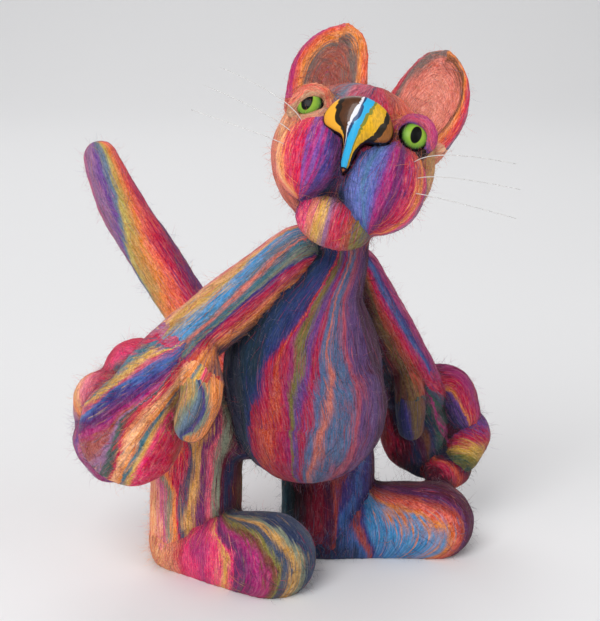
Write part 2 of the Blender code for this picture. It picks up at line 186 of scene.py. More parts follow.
# Where the arm's roving ends and fans out over the hand: along the arm, and the hub
WRIST_RIGHT_REACH = 72.0
WRIST_RIGHT = (-30.0, -20.5, 124.5)
WRIST_LEFT_REACH = 74.0
WRIST_LEFT = (44.0, -29.3, 106.0)
THUMB_ROOT = 12.0

# Tongues of roving where one form's runs on into the next: how many, and how long
WRIST_TONGUES = (7, 2.0)
THUMB_TONGUES = (5, 0.8)

# Tail, from the rump to its tip: x, y, z, radius
TAIL = (
    (5.0, 0.0, 63.0, 12.4),
    (4.0, 20.0, 72.0, 11.8),
    (3.7, 38.6, 84.4, 11.5),
    (1.4, 58.9, 102.9, 11.4),
    (-3.0, 78.3, 124.4, 11.4),
    (-7.7, 95.2, 144.7, 10.8),
    (-9.3, 103.1, 157.1, 9.5),
    (-9.4, 108.4, 165.5, 8.1),
)

# Head: its middle, its tilt and its skull
HEAD_CENTRE = (13.5, -43.9, 181.9)
HEAD_TILT = (-26.2, 15.7, -48.9)
SKULL_SIZE = (67.6, 60.0, 62.4)

# Muzzle, as shares of half the skull: +X its left, +Y forward, +Z up
PAD_RIGHT = (-0.42, 0.62, -0.28)
PAD_RIGHT_RADII = (0.43, 0.53, 0.575)
PAD_LEFT = (0.475, 0.62, -0.39)
PAD_LEFT_RADII = (0.505, 0.545, 0.62)
BRIDGE = (0.02, 0.66, 0.16)
BRIDGE_RADII = (0.36, 0.40, 0.30)
CHIN = (0.05, 0.50, -1.0)
CHIN_RADII = (0.47, 0.41, 0.31)

# Ears, as shares of half the skull, with their own width, thickness and hollow
EAR_RIGHT_FOOT = (-0.48, -0.17, 0.42)
EAR_RIGHT_TIP = (-0.60, -0.30, 1.86)
EAR_LEFT_FOOT = (0.48, -0.17, 0.42)
EAR_LEFT_TIP = (0.70, -0.30, 1.90)
EAR_WIDTH = 34.5
EAR_THICKNESS = 8.0
EAR_CUP = 7.0
EAR_BOW = 3.0
EAR_ROUND = 3.0
EAR_ROOT_SHARE = 0.27
EAR_RIM_SPREAD = 0.28
EAR_LANE_WIDTH = 0.36

# Eyes: domed glass, how far it stands out of the skull, and the felted lids
EYE_WIDTH = 13.0
EYE_DEPTH = 9.6
EYE_STAND_OUT = 1.5
EYE_SIDE = 0.636
EYE_HEIGHT = 0.315
EYE_LOOK = (0.22, 1.0, 0.05)
PUPIL_WIDTH = 0.34
PUPIL_HEIGHT = 0.55
LID_THICKNESS = 5.4
LID_SPREAD = 1.0
LID_STATIONS = 5
UPPER_LID_ANGLES = (15.0, 175.0)
LOWER_LID_ANGLES = (190.0, 345.0)

# Folds of wool over the rims of the eyes: outward, up, ahead of the eye's middle, radius
FOLD_RIGHT_UPPER = ((5.4, -5.2, 2.0, 2.3), (4.9, -1.2, 3.2, 2.6), (2.2, 2.8, 3.6, 2.7),
                    (-1.7, 5.1, 3.2, 2.6), (-5.4, 6.2, 2.0, 2.3))
FOLD_RIGHT_LOWER = ((-7.4, -2.5, 2.2, 2.3), (-5.1, -4.8, 3.0, 2.5), (-1.9, -6.5, 3.0, 2.5),
                    (1.6, -7.4, 2.2, 2.3))
FOLD_LEFT_UPPER = ((7.2, -1.8, 2.6, 2.4), (6.1, 3.1, 3.5, 2.6), (1.6, 6.1, 3.5, 2.7),
                   (-4.6, 5.8, 2.2, 2.2))

# Nose: a glossy shield with a long tail that lies between the muzzle pads
NOSE_WIDTH = 27.8
NOSE_HEIGHT = 30.4
NOSE_THICKNESS = 6.5
NOSE_BULGE = 3.2
NOSE_STAND_OUT = 6.6
NOSE_RISE = 0.24
NOSE_WING_SWEEP = 5.0
NOSE_TAIL_SWEEP = 7.5
NOSE_TAIL_SHRINK = 0.45
NOSE_BAND_REACH = 16.0
NOSE_RING_HEIGHT = -0.672
NOSE_RING_WIDTH = 0.010
NOSE_TIP_HEIGHT = -0.682

# One side of the shield, top to tail's end, as shares of its half width and its height
NOSE_OUTLINE = ((0.0, 0.278), (0.49, 0.235), (0.82, 0.14), (1.0, -0.033), (0.92, -0.17),
                (0.64, -0.232), (0.36, -0.275), (0.235, -0.36), (0.17, -0.50),
                (0.11, -0.64), (0.0, -0.722))
NOSE_OUTLINE_STEPS = 6

# The shield's loops, back to front: their share of the outline, and how far they dome
NOSE_LOOPS = ((1.0, None), (1.0, -0.6), (1.0, 0.0), (0.965, 0.28), (0.90, 0.45), (0.82, 0.57),
              (0.70, 0.72), (0.55, 0.84), (0.40, 0.92), (0.25, 0.97), (0.12, 1.0))

# Whiskers: a tapering thread for each root, which is a share of the pad's radii
WHISKER_WIDTH = 0.36
WHISKER_TIP_WIDTH = 0.28
WHISKER_LENGTH = 40.0
WHISKER_ROOT_DEPTH = 3.0
WHISKER_RISE = 11.0
WHISKER_ROOTS = ((0.54, 0.58), (0.74, 0.28), (0.80, -0.04))
WHISKER_LIFTS = (0.32, 0.22, 0.08)
WHISKER_SIDES = 10
WHISKER_STEPS = 25
WHISKER_BLUNT = 0.6

# Round a finger whose roving is wound about it: the length that shows all its lanes
WOUND_GIRTH = 60.0

# Lying fibres, which follow the roving: how many, how long, how thick and how uneven
FIBRE_BATCHES = 3
LYING_FIBRES = 21000
LYING_LENGTH = (4.0, 12.0)
LYING_LIFT = (0.02, 0.30)
LYING_SUNK = 0.05
LYING_WIDTH = 0.12
LYING_WIDTHS = (0.5, 1.2)
LYING_SHADES = (0.82, 1.22)
LYING_TURN = 0.28
LYING_BEND = 0.10
LYING_JITTER = 0.7
LYING_STEPS = 5

# Flyaway fibres, which stand out and curl
FLYAWAY_FIBRES = 24000
FLYAWAY_LENGTH = (2.5, 8.0)
FLYAWAY_SHORTNESS = 2.5
FLYAWAY_WIDTH = 0.055
FLYAWAY_WIDTHS = (0.6, 1.3)
FLYAWAY_SHADES = (0.85, 1.3)
FLYAWAY_STAND = (0.25, 1.0)
FLYAWAY_LEAN = 0.7
FLYAWAY_SPREAD = 0.45
FLYAWAY_CURL = 0.55
FLYAWAY_WOBBLE = 0.16
FLYAWAY_JITTER = 0.6
FLYAWAY_ROOT = 0.3
FLYAWAY_STEPS = 4

# Dye of the loose fibres: a little greyer than the wool they grow from, some pale, some stray
LOOSE_GREY = 0.04
STRAY_SHARE = 0.2
STRAY_REACH = 4.0
PALE_SHARE = 0.22
PALE_WOOL = (0.55, 0.48, 0.50)
LOOSE_LIGHT = 0.01

# Shape of a fibre: where its taper begins and ends in half a turn, and how low it may lie
FIBRE_TAPER = (0.12, 0.97)
FIBRE_LEAN = (0.31, 0.52, 0.79)
FIBRE_GROUND = 0.02

# Where two forms meet: how wide their fibres mingle, and how dark the painted shade in the crease
# is
MINGLE = 2.2
MINGLE_CROWD = 3.0
CREASE_ROUNDS = 9
CREASE_DEPTH = 0.75
CREASE_SHADE = 0.62


# Dyed wool, in 8-bit sRGB
DYES = {
    "black": (22, 20, 24), "black_green": (34, 42, 46), "blue": (66, 104, 168),
    "brick": (180, 72, 62), "brown": (118, 72, 52), "brown_rose": (170, 84, 72),
    "coral": (238, 100, 84), "crimson": (202, 34, 76), "dark_blue": (44, 70, 128),
    "dark_brown": (62, 42, 38), "dark_crimson": (140, 24, 52), "dark_green": (58, 92, 82),
    "dark_teal": (32, 62, 80), "gold": (222, 172, 80), "green_gold": (196, 176, 92),
    "grey_blue": (104, 126, 148), "grey_brown": (120, 104, 100), "grey_green": (128, 138, 118),
    "hot_pink": (240, 56, 118), "indigo": (66, 58, 128), "lilac_blue": (100, 112, 186),
    "magenta": (176, 44, 116), "maroon": (92, 24, 46), "mauve": (158, 112, 150),
    "mauve_pink": (206, 96, 140), "navy": (36, 50, 88), "ochre": (202, 150, 80),
    "olive": (134, 126, 62), "olive_brown": (112, 88, 56), "orange": (238, 142, 72),
    "peach": (242, 172, 118), "pink": (232, 120, 140), "plum": (80, 28, 62),
    "purple": (104, 42, 100), "red_orange": (228, 92, 62), "rose": (204, 84, 108),
    "rust": (172, 70, 56), "salmon": (228, 124, 108), "shell": (238, 144, 124),
    "sky": (72, 154, 212), "slate": (66, 78, 104), "slate_violet": (112, 78, 140),
    "steel": (84, 124, 170), "tan": (206, 168, 132), "teal": (58, 118, 138),
    "violet": (116, 74, 152),
}

# Lanes of dyed roving over each form, from its right round to its left as one faces its
# front. Each row gives a distance along the roving and the shares where a lane ends there.
# The last entry is the roving round the back
LANES = {
    # Down the torso's right side, under the arm, the dark lanes hold painted shade as well as dye
    "torso": (
        "navy dark_teal dark_blue indigo crimson red_orange crimson magenta olive violet crimson"
        " steel salmon steel rose slate_violet plum",
        {8: ".36 .38 .47 .471 .472 .473 .474 .476 .50 .53 .535 .55 .552 .59 .595 .66",
         20: ".36 .38 .478 .479 .480 .481 .482 .484 .510 .534 .541 .560 .561 .588 .598 .668",
         30: ".33 .39 .465 .482 .483 .484 .485 .486 .508 .534 .544 .560 .561 .600 .612 .66",
         40: ".33 .405 .445 .465 .466 .467 .468 .484 .508 .530 .546 .560 .561 .607 .617 .668",
         50: ".34 .418 .419 .423 .446 .452 .474 .490 .508 .525 .541 .566 .579 .607 .617 .66",
         60: ".335 .398 .399 .413 .436 .454 .455 .469 .482 .505 .525 .546 .561 .602 .617 .68",
         70: ".34 .367 .368 .370 .408 .438 .459 .460 .469 .484 .510 .530 .551 .597 .617 .68",
         80: ".34 .360 .361 .363 .392 .425 .459 .460 .467 .479 .500 .515 .535 .587 .607 .68",
         90: ".33 .355 .356 .357 .392 .42 .462 .463 .466 .475 .485 .505 .52 .585 .61 .68",
         100: ".33 .34 .341 .342 .36 .37 .45 .451 .452 .47 .475 .49 .50 .56 .60 .68"},
        "plum navy slate indigo dark_teal maroon navy"),
    "arm_right": (
        "pink peach gold sky grey_blue salmon teal grey_green indigo crimson orange navy",
        {15: ".33 .335 .34 .40 .455 .456 .495 .565 .568 .64 .66",
         22: ".33 .335 .345 .397 .450 .460 .510 .545 .550 .65 .66",
         30: ".30 .345 .350 .438 .454 .480 .520 .521 .560 .617 .67",
         40: ".27 .377 .392 .459 .460 .490 .525 .526 .546 .617 .685",
         50: ".27 .34 .395 .474 .475 .500 .530 .531 .550 .612 .675",
         60: ".27 .34 .403 .490 .491 .515 .540 .541 .555 .617 .653",
         70: ".27 .34 .408 .480 .500 .515 .538 .539 .545 .571 .61"},
        "navy indigo violet magenta rose coral salmon"),
    "hand_right": (
        "mauve crimson teal gold rose blue indigo purple magenta brown_rose mauve dark_green"
        " crimson peach orange teal gold hot_pink crimson rust",
        {5: ".445 .4452 .4454 .4456 .446 .455 .462 .468 .470 .4702 .4704 .4706 .485 .498 .512 .513"
            " .535 .536 .537",
         10: ".441 .4412 .4414 .4416 .448 .474 .4745 .475 .4752 .4754 .4756 .476 .488 .50 .512"
             " .513 .535 .536 .537",
         20: ".405 .412 .428 .440 .448 .460 .472 .478 .485 .4852 .4854 .4856 .496 .505 .510 .511"
             " .522 .528 .545",
         30: ".405 .422 .434 .445 .450 .455 .464 .473 .480 .4802 .4804 .481 .490 .503 .509 .511"
             " .518 .524 .548",
         40: ".415 .427 .436 .449 .450 .4525 .463 .470 .474 .477 .478 .486 .492 .505 .507 .513"
             " .518 .525 .552",
         50: ".437 .4375 .443 .452 .4525 .456 .461 .469 .474 .486 .490 .499 .4995 .509 .511 .516"
             " .521 .526 .551",
         60: ".449 .4495 .450 .4505 .455 .458 .462 .467 .473 .489 .497 .505 .506 .513 .514 .519"
             " .524 .530 .556",
         70: ".452 .4525 .453 .4535 .460 .461 .462 .468 .474 .490 .498 .508 .5085 .516 .517 .522"
             " .525 .532 .558"},
        "rust orange gold magenta violet mauve pink"),
    "thumb_right": (
        "olive ochre grey_green grey_blue slate indigo grey_green orange brown",
        {11: ".36 .46 .465 .47 .475 .48 .49 .74",
         16: ".35 .45 .475 .50 .52 .53 .56 .73",
         20: ".32 .41 .45 .50 .55 .56 .60 .72",
         25: ".26 .36 .43 .50 .53 .56 .61 .72",
         30: ".22 .34 .41 .46 .49 .53 .57 .72",
         34: ".20 .30 .36 .42 .44 .45 .47 .72"},
        "rust maroon plum purple magenta violet rose"),
    "finger_right_1": ("crimson hot_pink rose grey_blue slate", {0: ".40 .50 .53 .60"},
                       "violet magenta rose crimson coral pink rose"),
    "finger_right_2": ("orange mauve violet mauve", {0: ".285 .33 .45"},
                       "rose mauve rose crimson rose pink peach"),
    "finger_right_3": ("mauve magenta violet mauve_pink mauve magenta",
                       {0: ".36 .44 .50 .56 .64"},
                       "purple violet mauve rose magenta mauve purple"),
    "arm_left": (
        "navy dark_teal maroon olive_brown rust crimson magenta blue indigo magenta mauve_pink",
        {10: ".30 .36 .50 .515 .54 .555 .565 .62 .64 .68",
         30: ".30 .37 .455 .49 .53 .555 .57 .615 .64 .68",
         50: ".30 .39 .43 .50 .54 .57 .585 .61 .635 .70",
         70: ".30 .40 .43 .52 .56 .60 .62 .63 .64 .72"},
        "rose salmon ochre orange rust maroon plum"),
    # The left hand's dark lanes hold painted shade as well as dye
    "hand_left": (
        "brick crimson maroon navy plum brown navy dark_green magenta dark_green slate crimson"
        " magenta",
        {45: ".466 .4662 .467 .495 .50 .51 .52 .541 .5412 .545 .546 .572",
         55: ".460 .4605 .465 .490 .50 .512 .52 .541 .5415 .551 .556 .572",
         65: ".466 .48 .498 .4985 .510 .521 .531 .5312 .536 .549 .562 .571",
         75: ".465 .475 .490 .50 .508 .510 .524 .532 .541 .551 .56 .575",
         82: ".462 .475 .485 .50 .505 .506 .521 .536 .545 .553 .56 .575"},
        "mauve_pink violet indigo navy dark_teal plum maroon"),
    "thumb_left": ("navy indigo olive_brown brown navy",
                   {10: ".40 .43 .60 .66", 20: ".44 .47 .66 .72", 28: ".50 .52 .66 .72"},
                   "navy indigo slate navy dark_teal navy navy"),
    "finger_left_1": ("navy violet orange crimson magenta",
                      {10: ".455 .46 .49 .58", 20: ".44 .47 .485 .58", 30: ".48 .52 .521 .66"},
                      "violet mauve magenta plum navy navy navy"),
    "finger_left_2": (
        "maroon violet crimson gold olive dark_green",
        {-10: ".36 .38 .50 .52 .55", 0: ".30 .32 .49 .54 .575", 8: ".28 .30 .38 .53 .58"},
        "dark_teal navy plum maroon maroon plum maroon"),
    "finger_left_3": (
        "navy dark_crimson red_orange crimson maroon plum",
        {-10: ".40 .42 .43 .47 .53", 0: ".32 .34 .42 .48 .54", 6: ".27 .30 .34 .44 .52"},
        "plum maroon navy navy navy slate navy"),
    "tail": (
        "purple crimson coral orange ochre green_gold grey_blue violet mauve mauve_pink",
        {70: ".42 .46 .60 .70 .74 .76 .78 .80 .84",
         85: ".40 .44 .52 .58 .66 .70 .73 .76 .82",
         100: ".34 .43 .50 .55 .62 .68 .70 .72 .80",
         115: ".28 .38 .43 .46 .50 .56 .59 .63 .75",
         130: ".22 .36 .40 .425 .44 .48 .52 .57 .70",
         150: ".20 .30 .36 .405 .42 .44 .50 .55 .66"},
        "pink salmon ochre olive teal blue violet"),
    "leg_right": (
        "peach mauve_pink grey_green orange crimson slate ochre purple rose grey_green maroon"
        " navy maroon brown",
        {20: ".30 .35 .38 .44 .45 .46 .54 .57 .571 .59 .62 .67 .70",
         30: ".30 .35 .37 .455 .477 .494 .515 .54 .563 .598 .627 .68 .70",
         40: ".32 .34 .36 .38 .465 .492 .520 .548 .563 .585 .61 .656 .70",
         50: ".367 .40 .43 .448 .450 .488 .517 .546 .563 .598 .602 .633 .69",
         60: ".373 .40 .425 .442 .444 .465 .510 .545 .560 .585 .600 .62 .69",
         70: ".38 .41 .43 .45 .46 .475 .51 .55 .56 .58 .60 .62 .69"},
        "olive rust maroon crimson rose orange peach"),
    "instep_right": (
        "peach salmon crimson hot_pink magenta hot_pink gold hot_pink purple magenta brown olive"
        " slate ochre grey_green navy slate",
        {20: ".28 .33 .34 .385 .43 .488 .489 .490 .523 .54 .56 .58 .585 .60 .61 .66",
         30: ".285 .315 .335 .36 .47 .515 .5155 .516 .545 .560 .578 .590 .600 .610 .616 .640",
         40: ".28 .318 .338 .42 .455 .518 .535 .546 .558 .575 .585 .592 .600 .615 .627 .645",
         50: ".28 .31 .33 .42 .46 .508 .535 .5355 .570 .585 .590 .592 .607 .621 .632 .655",
         60: ".30 .33 .35 .43 .48 .53 .54 .541 .570 .588 .598 .600 .615 .628 .645 .658"},
        "navy indigo plum crimson coral orange peach"),
    "leg_left": (
        "teal dark_teal black_green maroon dark_crimson plum brick indigo blue indigo maroon",
        {20: ".33 .35 .38 .46 .50 .505 .54 .587 .615 .68",
         30: ".32 .355 .384 .44 .483 .51 .545 .593 .633 .68",
         42: ".32 .36 .39 .44 .488 .53 .531 .535 .575 .68"},
        "brown rust purple indigo navy dark_green dark_teal"),
    "instep_left": (
        "navy blue brick indigo blue sky orange coral brick purple maroon",
        {20: ".46 .51 .54 .555 .57 .61 .625 .64 .68 .70",
         30: ".455 .488 .529 .540 .548 .637 .645 .665 .685 .70",
         40: ".50 .525 .555 .558 .565 .655 .660 .672 .685 .70",
         50: ".585 .590 .591 .592 .60 .662 .668 .680 .690 .70",
         60: ".63 .631 .632 .633 .64 .672 .680 .692 .698 .71"},
        "plum maroon purple indigo navy teal navy"),
    "skull": (
        "rust salmon peach rust grey_blue rose navy crimson rust red_orange ochre tan",
        {10: ".25 .26 .28 .38 .42 .50 .501 .56 .60 .68 .70",
         30: ".24 .25 .29 .405 .445 .50 .501 .56 .60 .67 .70",
         45: ".24 .26 .34 .36 .38 .42 .57 .58 .60 .64 .74",
         65: ".24 .32 .36 .37 .38 .40 .57 .58 .60 .62 .72",
         90: ".24 .36 .37 .38 .385 .40 .56 .57 .58 .60 .70"},
        "salmon rose brick magenta rose orange salmon"),
    "pad_right": (
        "salmon peach orange crimson crimson violet magenta violet magenta indigo purple navy",
        {20: ".28 .33 .36 .44 .46 .49 .51 .53 .545 .59 .63",
         40: ".30 .35 .385 .47 .49 .50 .52 .535 .55 .60 .64",
         50: ".42 .43 .44 .50 .51 .52 .53 .54 .55 .60 .64"},
        "navy navy navy indigo rose salmon salmon"),
    "pad_left": (
        "navy lilac_blue steel lilac_blue violet magenta purple crimson orange hot_pink mauve",
        {15: ".38 .42 .44 .47 .50 .53 .57 .66 .70 .72",
         30: ".34 .42 .445 .48 .50 .54 .58 .665 .69 .71",
         45: ".34 .43 .45 .48 .49 .53 .58 .665 .69 .71"},
        "mauve rose salmon navy navy navy navy"),
    "chin": (
        "violet magenta hot_pink salmon gold mauve crimson rust olive grey_brown grey_blue",
        {0: ".25 .268 .33 .39 .455 .484 .60 .645 .705 .74"},
        "slate navy maroon plum purple violet magenta"),
    "ear_right": (
        "magenta red_orange orange grey_brown brown_rose grey_brown orange red_orange olive_brown",
        {10: ".10 .13 .18 .25 .78 .83 .87 .90",
         28: ".02 .15 .19 .25 .75 .81 .85 .98",
         45: ".15 .18 .24 .27 .75 .80 .85 .98"},
        ""),
    "ear_left": (
        "tan crimson grey_brown salmon shell salmon brown orange red_orange crimson grey_blue",
        {10: ".09 .15 .19 .27 .70 .74 .78 .82 .90 .93",
         28: ".09 .15 .19 .27 .73 .81 .84 .845 .85 .91",
         45: ".08 .12 .18 .26 .73 .80 .84 .86 .90 .93"},
        ""),
    "lid_right_upper": ("rust tan coral peach", {0: ".3 .46 .6"}, ""),
    "lid_right_lower": ("peach tan salmon peach", {0: ".3 .5 .7"}, ""),
    "lid_left_upper": ("orange magenta rose violet rust", {0: ".40 .50 .58 .68"}, ""),
    "lid_left_lower": ("brown black dark_brown brown", {0: ".3 .5 .7"}, ""),
}

# Painted light and shade over a whole form, for how much light falls on it: below 1 is painted
# shade, above 1 painted light
FORM_PAINTED_LIGHT = {
    "torso": 0.66, "arm_right": 0.84, "arm_left": 0.85, "leg_right": 1.4, "leg_left": 0.74,
    "instep_left": 0.8, "hand_left": 0.75, "thumb_left": 0.8, "finger_left_1": 0.75,
    "finger_left_2": 0.75, "finger_left_3": 0.75, "pad_right": 1.2, "pad_left": 0.95,
}

# How far round a form is, which sets how thick its strands look
GRAIN_GIRTH = {"torso": 190.0, "skull": 190.0, "leg": 125.0, "instep": 190.0, "hand": 190.0}
OTHER_GRAIN_GIRTH = 70.0

# Where the lanes of the roving round a form's back end, as shares of the way round
BACK_SHARES = (0.05, 0.11, 0.17, 0.23, 0.77, 0.83, 0.89, 0.95)

# Painted bands of the nose, from its right wing to its left, by height: where each ends
NOSE_BANDS = "gold black brown white deep_blue sky olive yellow black amber"
NOSE_BAND_ENDS = {
    6: "-9.6 -8.0 -1.0 -.35 .1 4.0 4.4 9.2 10.2",
    2: "-9.6 -8.6 -1.9 -1.2 -.6 3.0 3.5 9.7 11.3",
    0: "-9.4 -8.3 -2.2 -1.4 -.8 2.5 3.0 9.4 10.6",
    -2: "-8.6 -7.8 -2.7 -1.9 -1.3 2.0 2.4 9.2 10.0",
    -4: "-7.6 -6.9 -3.2 -2.5 -1.5 1.8 2.1 8.7 9.5",
    -6: "-5.6 -4.4 -3.3 -2.9 -1.7 1.5 1.9 6.9 8.6",
    -8: "-4.0 -3.3 -3.0 -2.8 -2.0 1.2 1.6 4.8 7.5",
    -10: "-3.1 -2.7 -2.6 -2.5 -2.2 1.0 1.3 3.2 6.0",
    -14: "-2.2 -2.1 -2.05 -2.0 -1.9 1.0 1.2 1.5 4.0",
}

# Paints of the nose and the eyes, in 8-bit sRGB. A streaky paint shows its brush strokes
PAINTS = {
    "gold": (250, 180, 50), "black": (16, 13, 12), "brown": (82, 45, 20),
    "white": (222, 222, 230), "deep_blue": (20, 60, 110), "sky": (46, 176, 228),
    "olive": (130, 130, 40), "yellow": (226, 172, 26), "amber": (150, 90, 34),
}
STREAKY_PAINTS = ("brown", "amber", "yellow")
COPPER = (170, 96, 46)

# Plain colours in linear light, and how matt the wool is
PUPIL_BLACK = (0.003, 0.003, 0.003, 1.0)
RIM_BLACK = (0.006, 0.005, 0.005, 1.0)
NYLON_COLOUR = (0.86, 0.86, 0.84, 1.0)
BLEACHED_WOOL = (0.42, 0.36, 0.40, 1.0)
WOOL_ROUGHNESS = 0.86

# Grain of the wool's patterns, in changes per millimetre: round the form twice, then along it
WANDER_GRAIN = (0.16, 0.16, 0.045)
RAGGED_GRAIN = (1.7, 1.7, 0.085)
STRAY_GRAIN = (2.4, 2.4, 0.09)
STRAY_PLACE_GRAIN = (0.8, 0.8, 0.03)
STRAY_LANES = 7.0
STRAND_GRAIN = (1.9, 1.9, 0.26)
TANGLE_GRAIN = (1.4, 1.4, 1.1)
PATCH_GRAIN = (0.22, 0.22, 0.10)
PIT_GRAIN = (0.9, 0.9, 0.8)
PALE_GRAIN = (2.4, 2.4, 0.16)

# Rings of the painted iris: how far out each lies, and its colour
EYE_RINGS = ((0.30, (150, 178, 60)), (0.52, (140, 182, 62)), (0.70, (112, 158, 56)),
             (0.79, (64, 96, 40)), (0.84, (6, 7, 6)))


# Colours

def linear(colour):
    """From 8-bit sRGB to the linear light that shaders work in."""
    parts = np.array(colour, float) / 255.0
    return np.where(parts <= 0.04045, parts / 12.92, ((parts + 0.055) / 1.055) ** 2.4)


# Shapes

def unit(vectors):
    """The vectors at a length of one."""
    vectors = np.asarray(vectors, float)
    length = np.linalg.norm(vectors, axis=-1, keepdims=True)
    return vectors / np.maximum(length, 1e-9)


def smooth_through(knots, steps):
    """The points of the smooth curve through the knots, evenly between neighbours."""
    knots = np.array(knots, float)
    padded = np.vstack((2.0 * knots[0] - knots[1], knots, 2.0 * knots[-1] - knots[-2]))
    t = np.arange(steps)[:, None] / steps
    parts = []
    for before, start, end, after in zip(padded, padded[1:], padded[2:], padded[3:]):
        parts.append(0.5 * (
            2.0 * start + (end - before) * t
            + (2.0 * before - 5.0 * start + 4.0 * end - after) * t ** 2
            + (3.0 * start - before - 3.0 * end + after) * t ** 3))
    return np.vstack(parts + [knots[-1:]])


def turn_matrix(angles):
    """A turn by three angles in degrees."""
    return np.array(Euler([math.radians(angle) for angle in angles], "XYZ").to_matrix())


def head_axes():
    """The head's own left, forward and up, as the columns of a matrix."""
    tilt = turn_matrix(HEAD_TILT)
    return np.column_stack((tilt[:, 0], -tilt[:, 1], tilt[:, 2]))


HALF_SKULL = np.array(SKULL_SIZE) * 0.5
HEAD_AXES = head_axes()


def from_head(points):
    """From the head's own millimetres to the layout's."""
    return np.array(HEAD_CENTRE) + np.asarray(points, float) @ HEAD_AXES.T


def on_head(shares):
    """From shares of half the skull to the head's own millimetres."""
    return np.array(shares) * HALF_SKULL


def skull_front(side, height):
    """How far forward the skull reaches at a share of its side and of its height."""
    return HALF_SKULL[1] * math.sqrt(max(0.0, 1.0 - side ** 2 - height ** 2))


def view_axes():
    """The camera's right, up and forward directions in the layout."""
    yaw, pitch = math.radians(VIEW_YAW), math.radians(VIEW_PITCH)
    right = np.array((math.cos(yaw), -math.sin(yaw), 0.0))
    ahead = np.array((
        math.sin(yaw) * math.cos(pitch), math.cos(yaw) * math.cos(pitch), math.sin(pitch)))
    return right, np.cross(right, ahead), ahead


TO_CAMERA = -view_axes()[2]


def ball_mesh(rings, segments):
    """The points and faces of a closed ball of radius one, its poles on Z."""
    points = [(0.0, 0.0, 1.0)]
    for ring in range(1, rings):
        polar = math.pi * ring / rings
        for segment in range(segments):
            angle = 2.0 * math.pi * segment / segments
            points.append((
                math.sin(polar) * math.cos(angle), math.sin(polar) * math.sin(angle),
                math.cos(polar)))
    points.append((0.0, 0.0, -1.0))
    last = len(points) - 1
    faces = []
    for segment in range(segments):
        after = (segment + 1) % segments
        faces.append((0, 1 + segment, 1 + after))
        for ring in range(rings - 2):
            low, high = 1 + ring * segments, 1 + (ring + 1) * segments
            faces.append((low + segment, high + segment, high + after, low + after))
        low = 1 + (rings - 2) * segments
        faces.append((last, low + after, low + segment))
    return np.array(points), faces


class LaidWool:
    """The closed shapes laid down so far, as points and faces."""

    def __init__(self):
        self.points = []
        self.faces = []
        self.count = 0

    def add(self, points, faces):
        self.points.append(np.asarray(points, float))
        self.faces += [[self.count + corner for corner in face] for face in faces]
        self.count += len(points)

    def add_balls(self, stations):
        points, faces = ball_mesh(*BALL_GRID)
        for station in stations:
            self.add(station[:3] + points * station[3], faces)

    def add_lobe(self, centre, radii, axes):
        points, faces = ball_mesh(*LOBE_GRID)
        self.add(np.array(centre) + (points * radii) @ axes.T, faces)


class Limb:
    """A smooth row of balls, whose roving runs along it."""

    def __init__(self, stations, front=TO_CAMERA, onward=(), wound=False, course=None):
        """The roving may run onward past the form, wind round it, or keep a course of its own."""
        self.wound = wound
        self.stations = smooth_through(stations, CURVE_STEPS)
        path = self.stations[:, :3]
        if course is not None:
            path = smooth_through(course, CURVE_STEPS)
        if len(onward):
            path = np.vstack((path, smooth_through(onward, CURVE_STEPS)[1:]))
        self.path = path
        self.along = unit(np.gradient(path, axis=0))
        front = np.broadcast_to(np.array(front, float), path.shape)
        across = (front * self.along).sum(1, keepdims=True)
        self.front = unit(front - across * self.along)
        self.side = np.cross(self.front, self.along)
        steps = np.linalg.norm(np.diff(path, axis=0), axis=1)
        self.reach = np.concatenate(([0.0], np.cumsum(steps)))

    def lay(self, wool):
        """Lay the form down as closed shapes."""
        wool.add_balls(self.stations)

    def depth(self, points):
        """How far outside the form each point is."""
        nearest = np.full(len(points), 1e3)
        for station in self.stations:
            far = np.linalg.norm(points - station[:3], axis=1) - station[3]
            nearest = np.minimum(nearest, far)
        return nearest

    def flow(self, points):
        """For each point: its place across the roving, along it, and the roving's way."""
        across, along, way, side = self.track(points)
        if self.wound:
            return along / WOUND_GIRTH, (across - 0.5) * WOUND_GIRTH, side
        return across, along, way

    def track(self, points):
        """Each point's share round the path, its place along it, and the ways on and aside."""
        best = np.full(len(points), 1e9)
        index = np.zeros(len(points), int)
        for number, centre in enumerate(self.path):
            far = ((points - centre) ** 2).sum(1)
            closer = far < best
            best[closer] = far[closer]
            index[closer] = number
        offset = points - self.path[index]
        angle = np.arctan2(
            (offset * self.side[index]).sum(1), (offset * self.front[index]).sum(1))
        along = self.reach[index] + (offset * self.along[index]).sum(1)
        return 0.5 + angle / (2.0 * math.pi), along, self.along[index], self.side[index]


class Lobe:
    """An ellipsoid, whose roving runs from pole to pole, or across it when it is banded."""

    def __init__(self, centre, radii, axes, front=TO_CAMERA, banded=False):
        self.banded = banded
        self.centre = np.array(centre, float)
        self.radii = np.array(radii, float)
        self.axes = axes
        self.pole = -axes[:, 2]
        front = np.array(front, float)
        self.front = unit(front - (front @ self.pole) * self.pole)
        self.side = np.cross(self.front, self.pole)

    def lay(self, wool):
        wool.add_lobe(self.centre, self.radii, self.axes)

    def depth(self, points):
        """How far outside the form each point is, measured towards its centre."""
        local = (points - self.centre) @ self.axes
        share = np.linalg.norm(local / self.radii, axis=1)
        length = np.linalg.norm(local, axis=1)
        return length * (1.0 - 1.0 / np.maximum(share, 1e-6))

    def flow(self, points):
        """Each point's place across and along the roving, and the roving's way."""
        offset = points - self.centre
        side, front = offset @ self.side, offset @ self.front
        if self.banded:
            turn = np.arctan2(front, -(offset @ self.pole))
            across = 0.5 + 0.25 * side / self.radii[0]
            way = np.cross(self.side, unit(offset))
            return across, turn * self.radii[2], unit(way)
        angle = np.arctan2(side, front)
        polar = np.arctan2(np.hypot(side, front), -(offset @ self.pole))
        along = polar * float(np.mean(self.radii))
        return 0.5 + angle / (2.0 * math.pi), along, np.tile(self.pole, (len(points), 1))


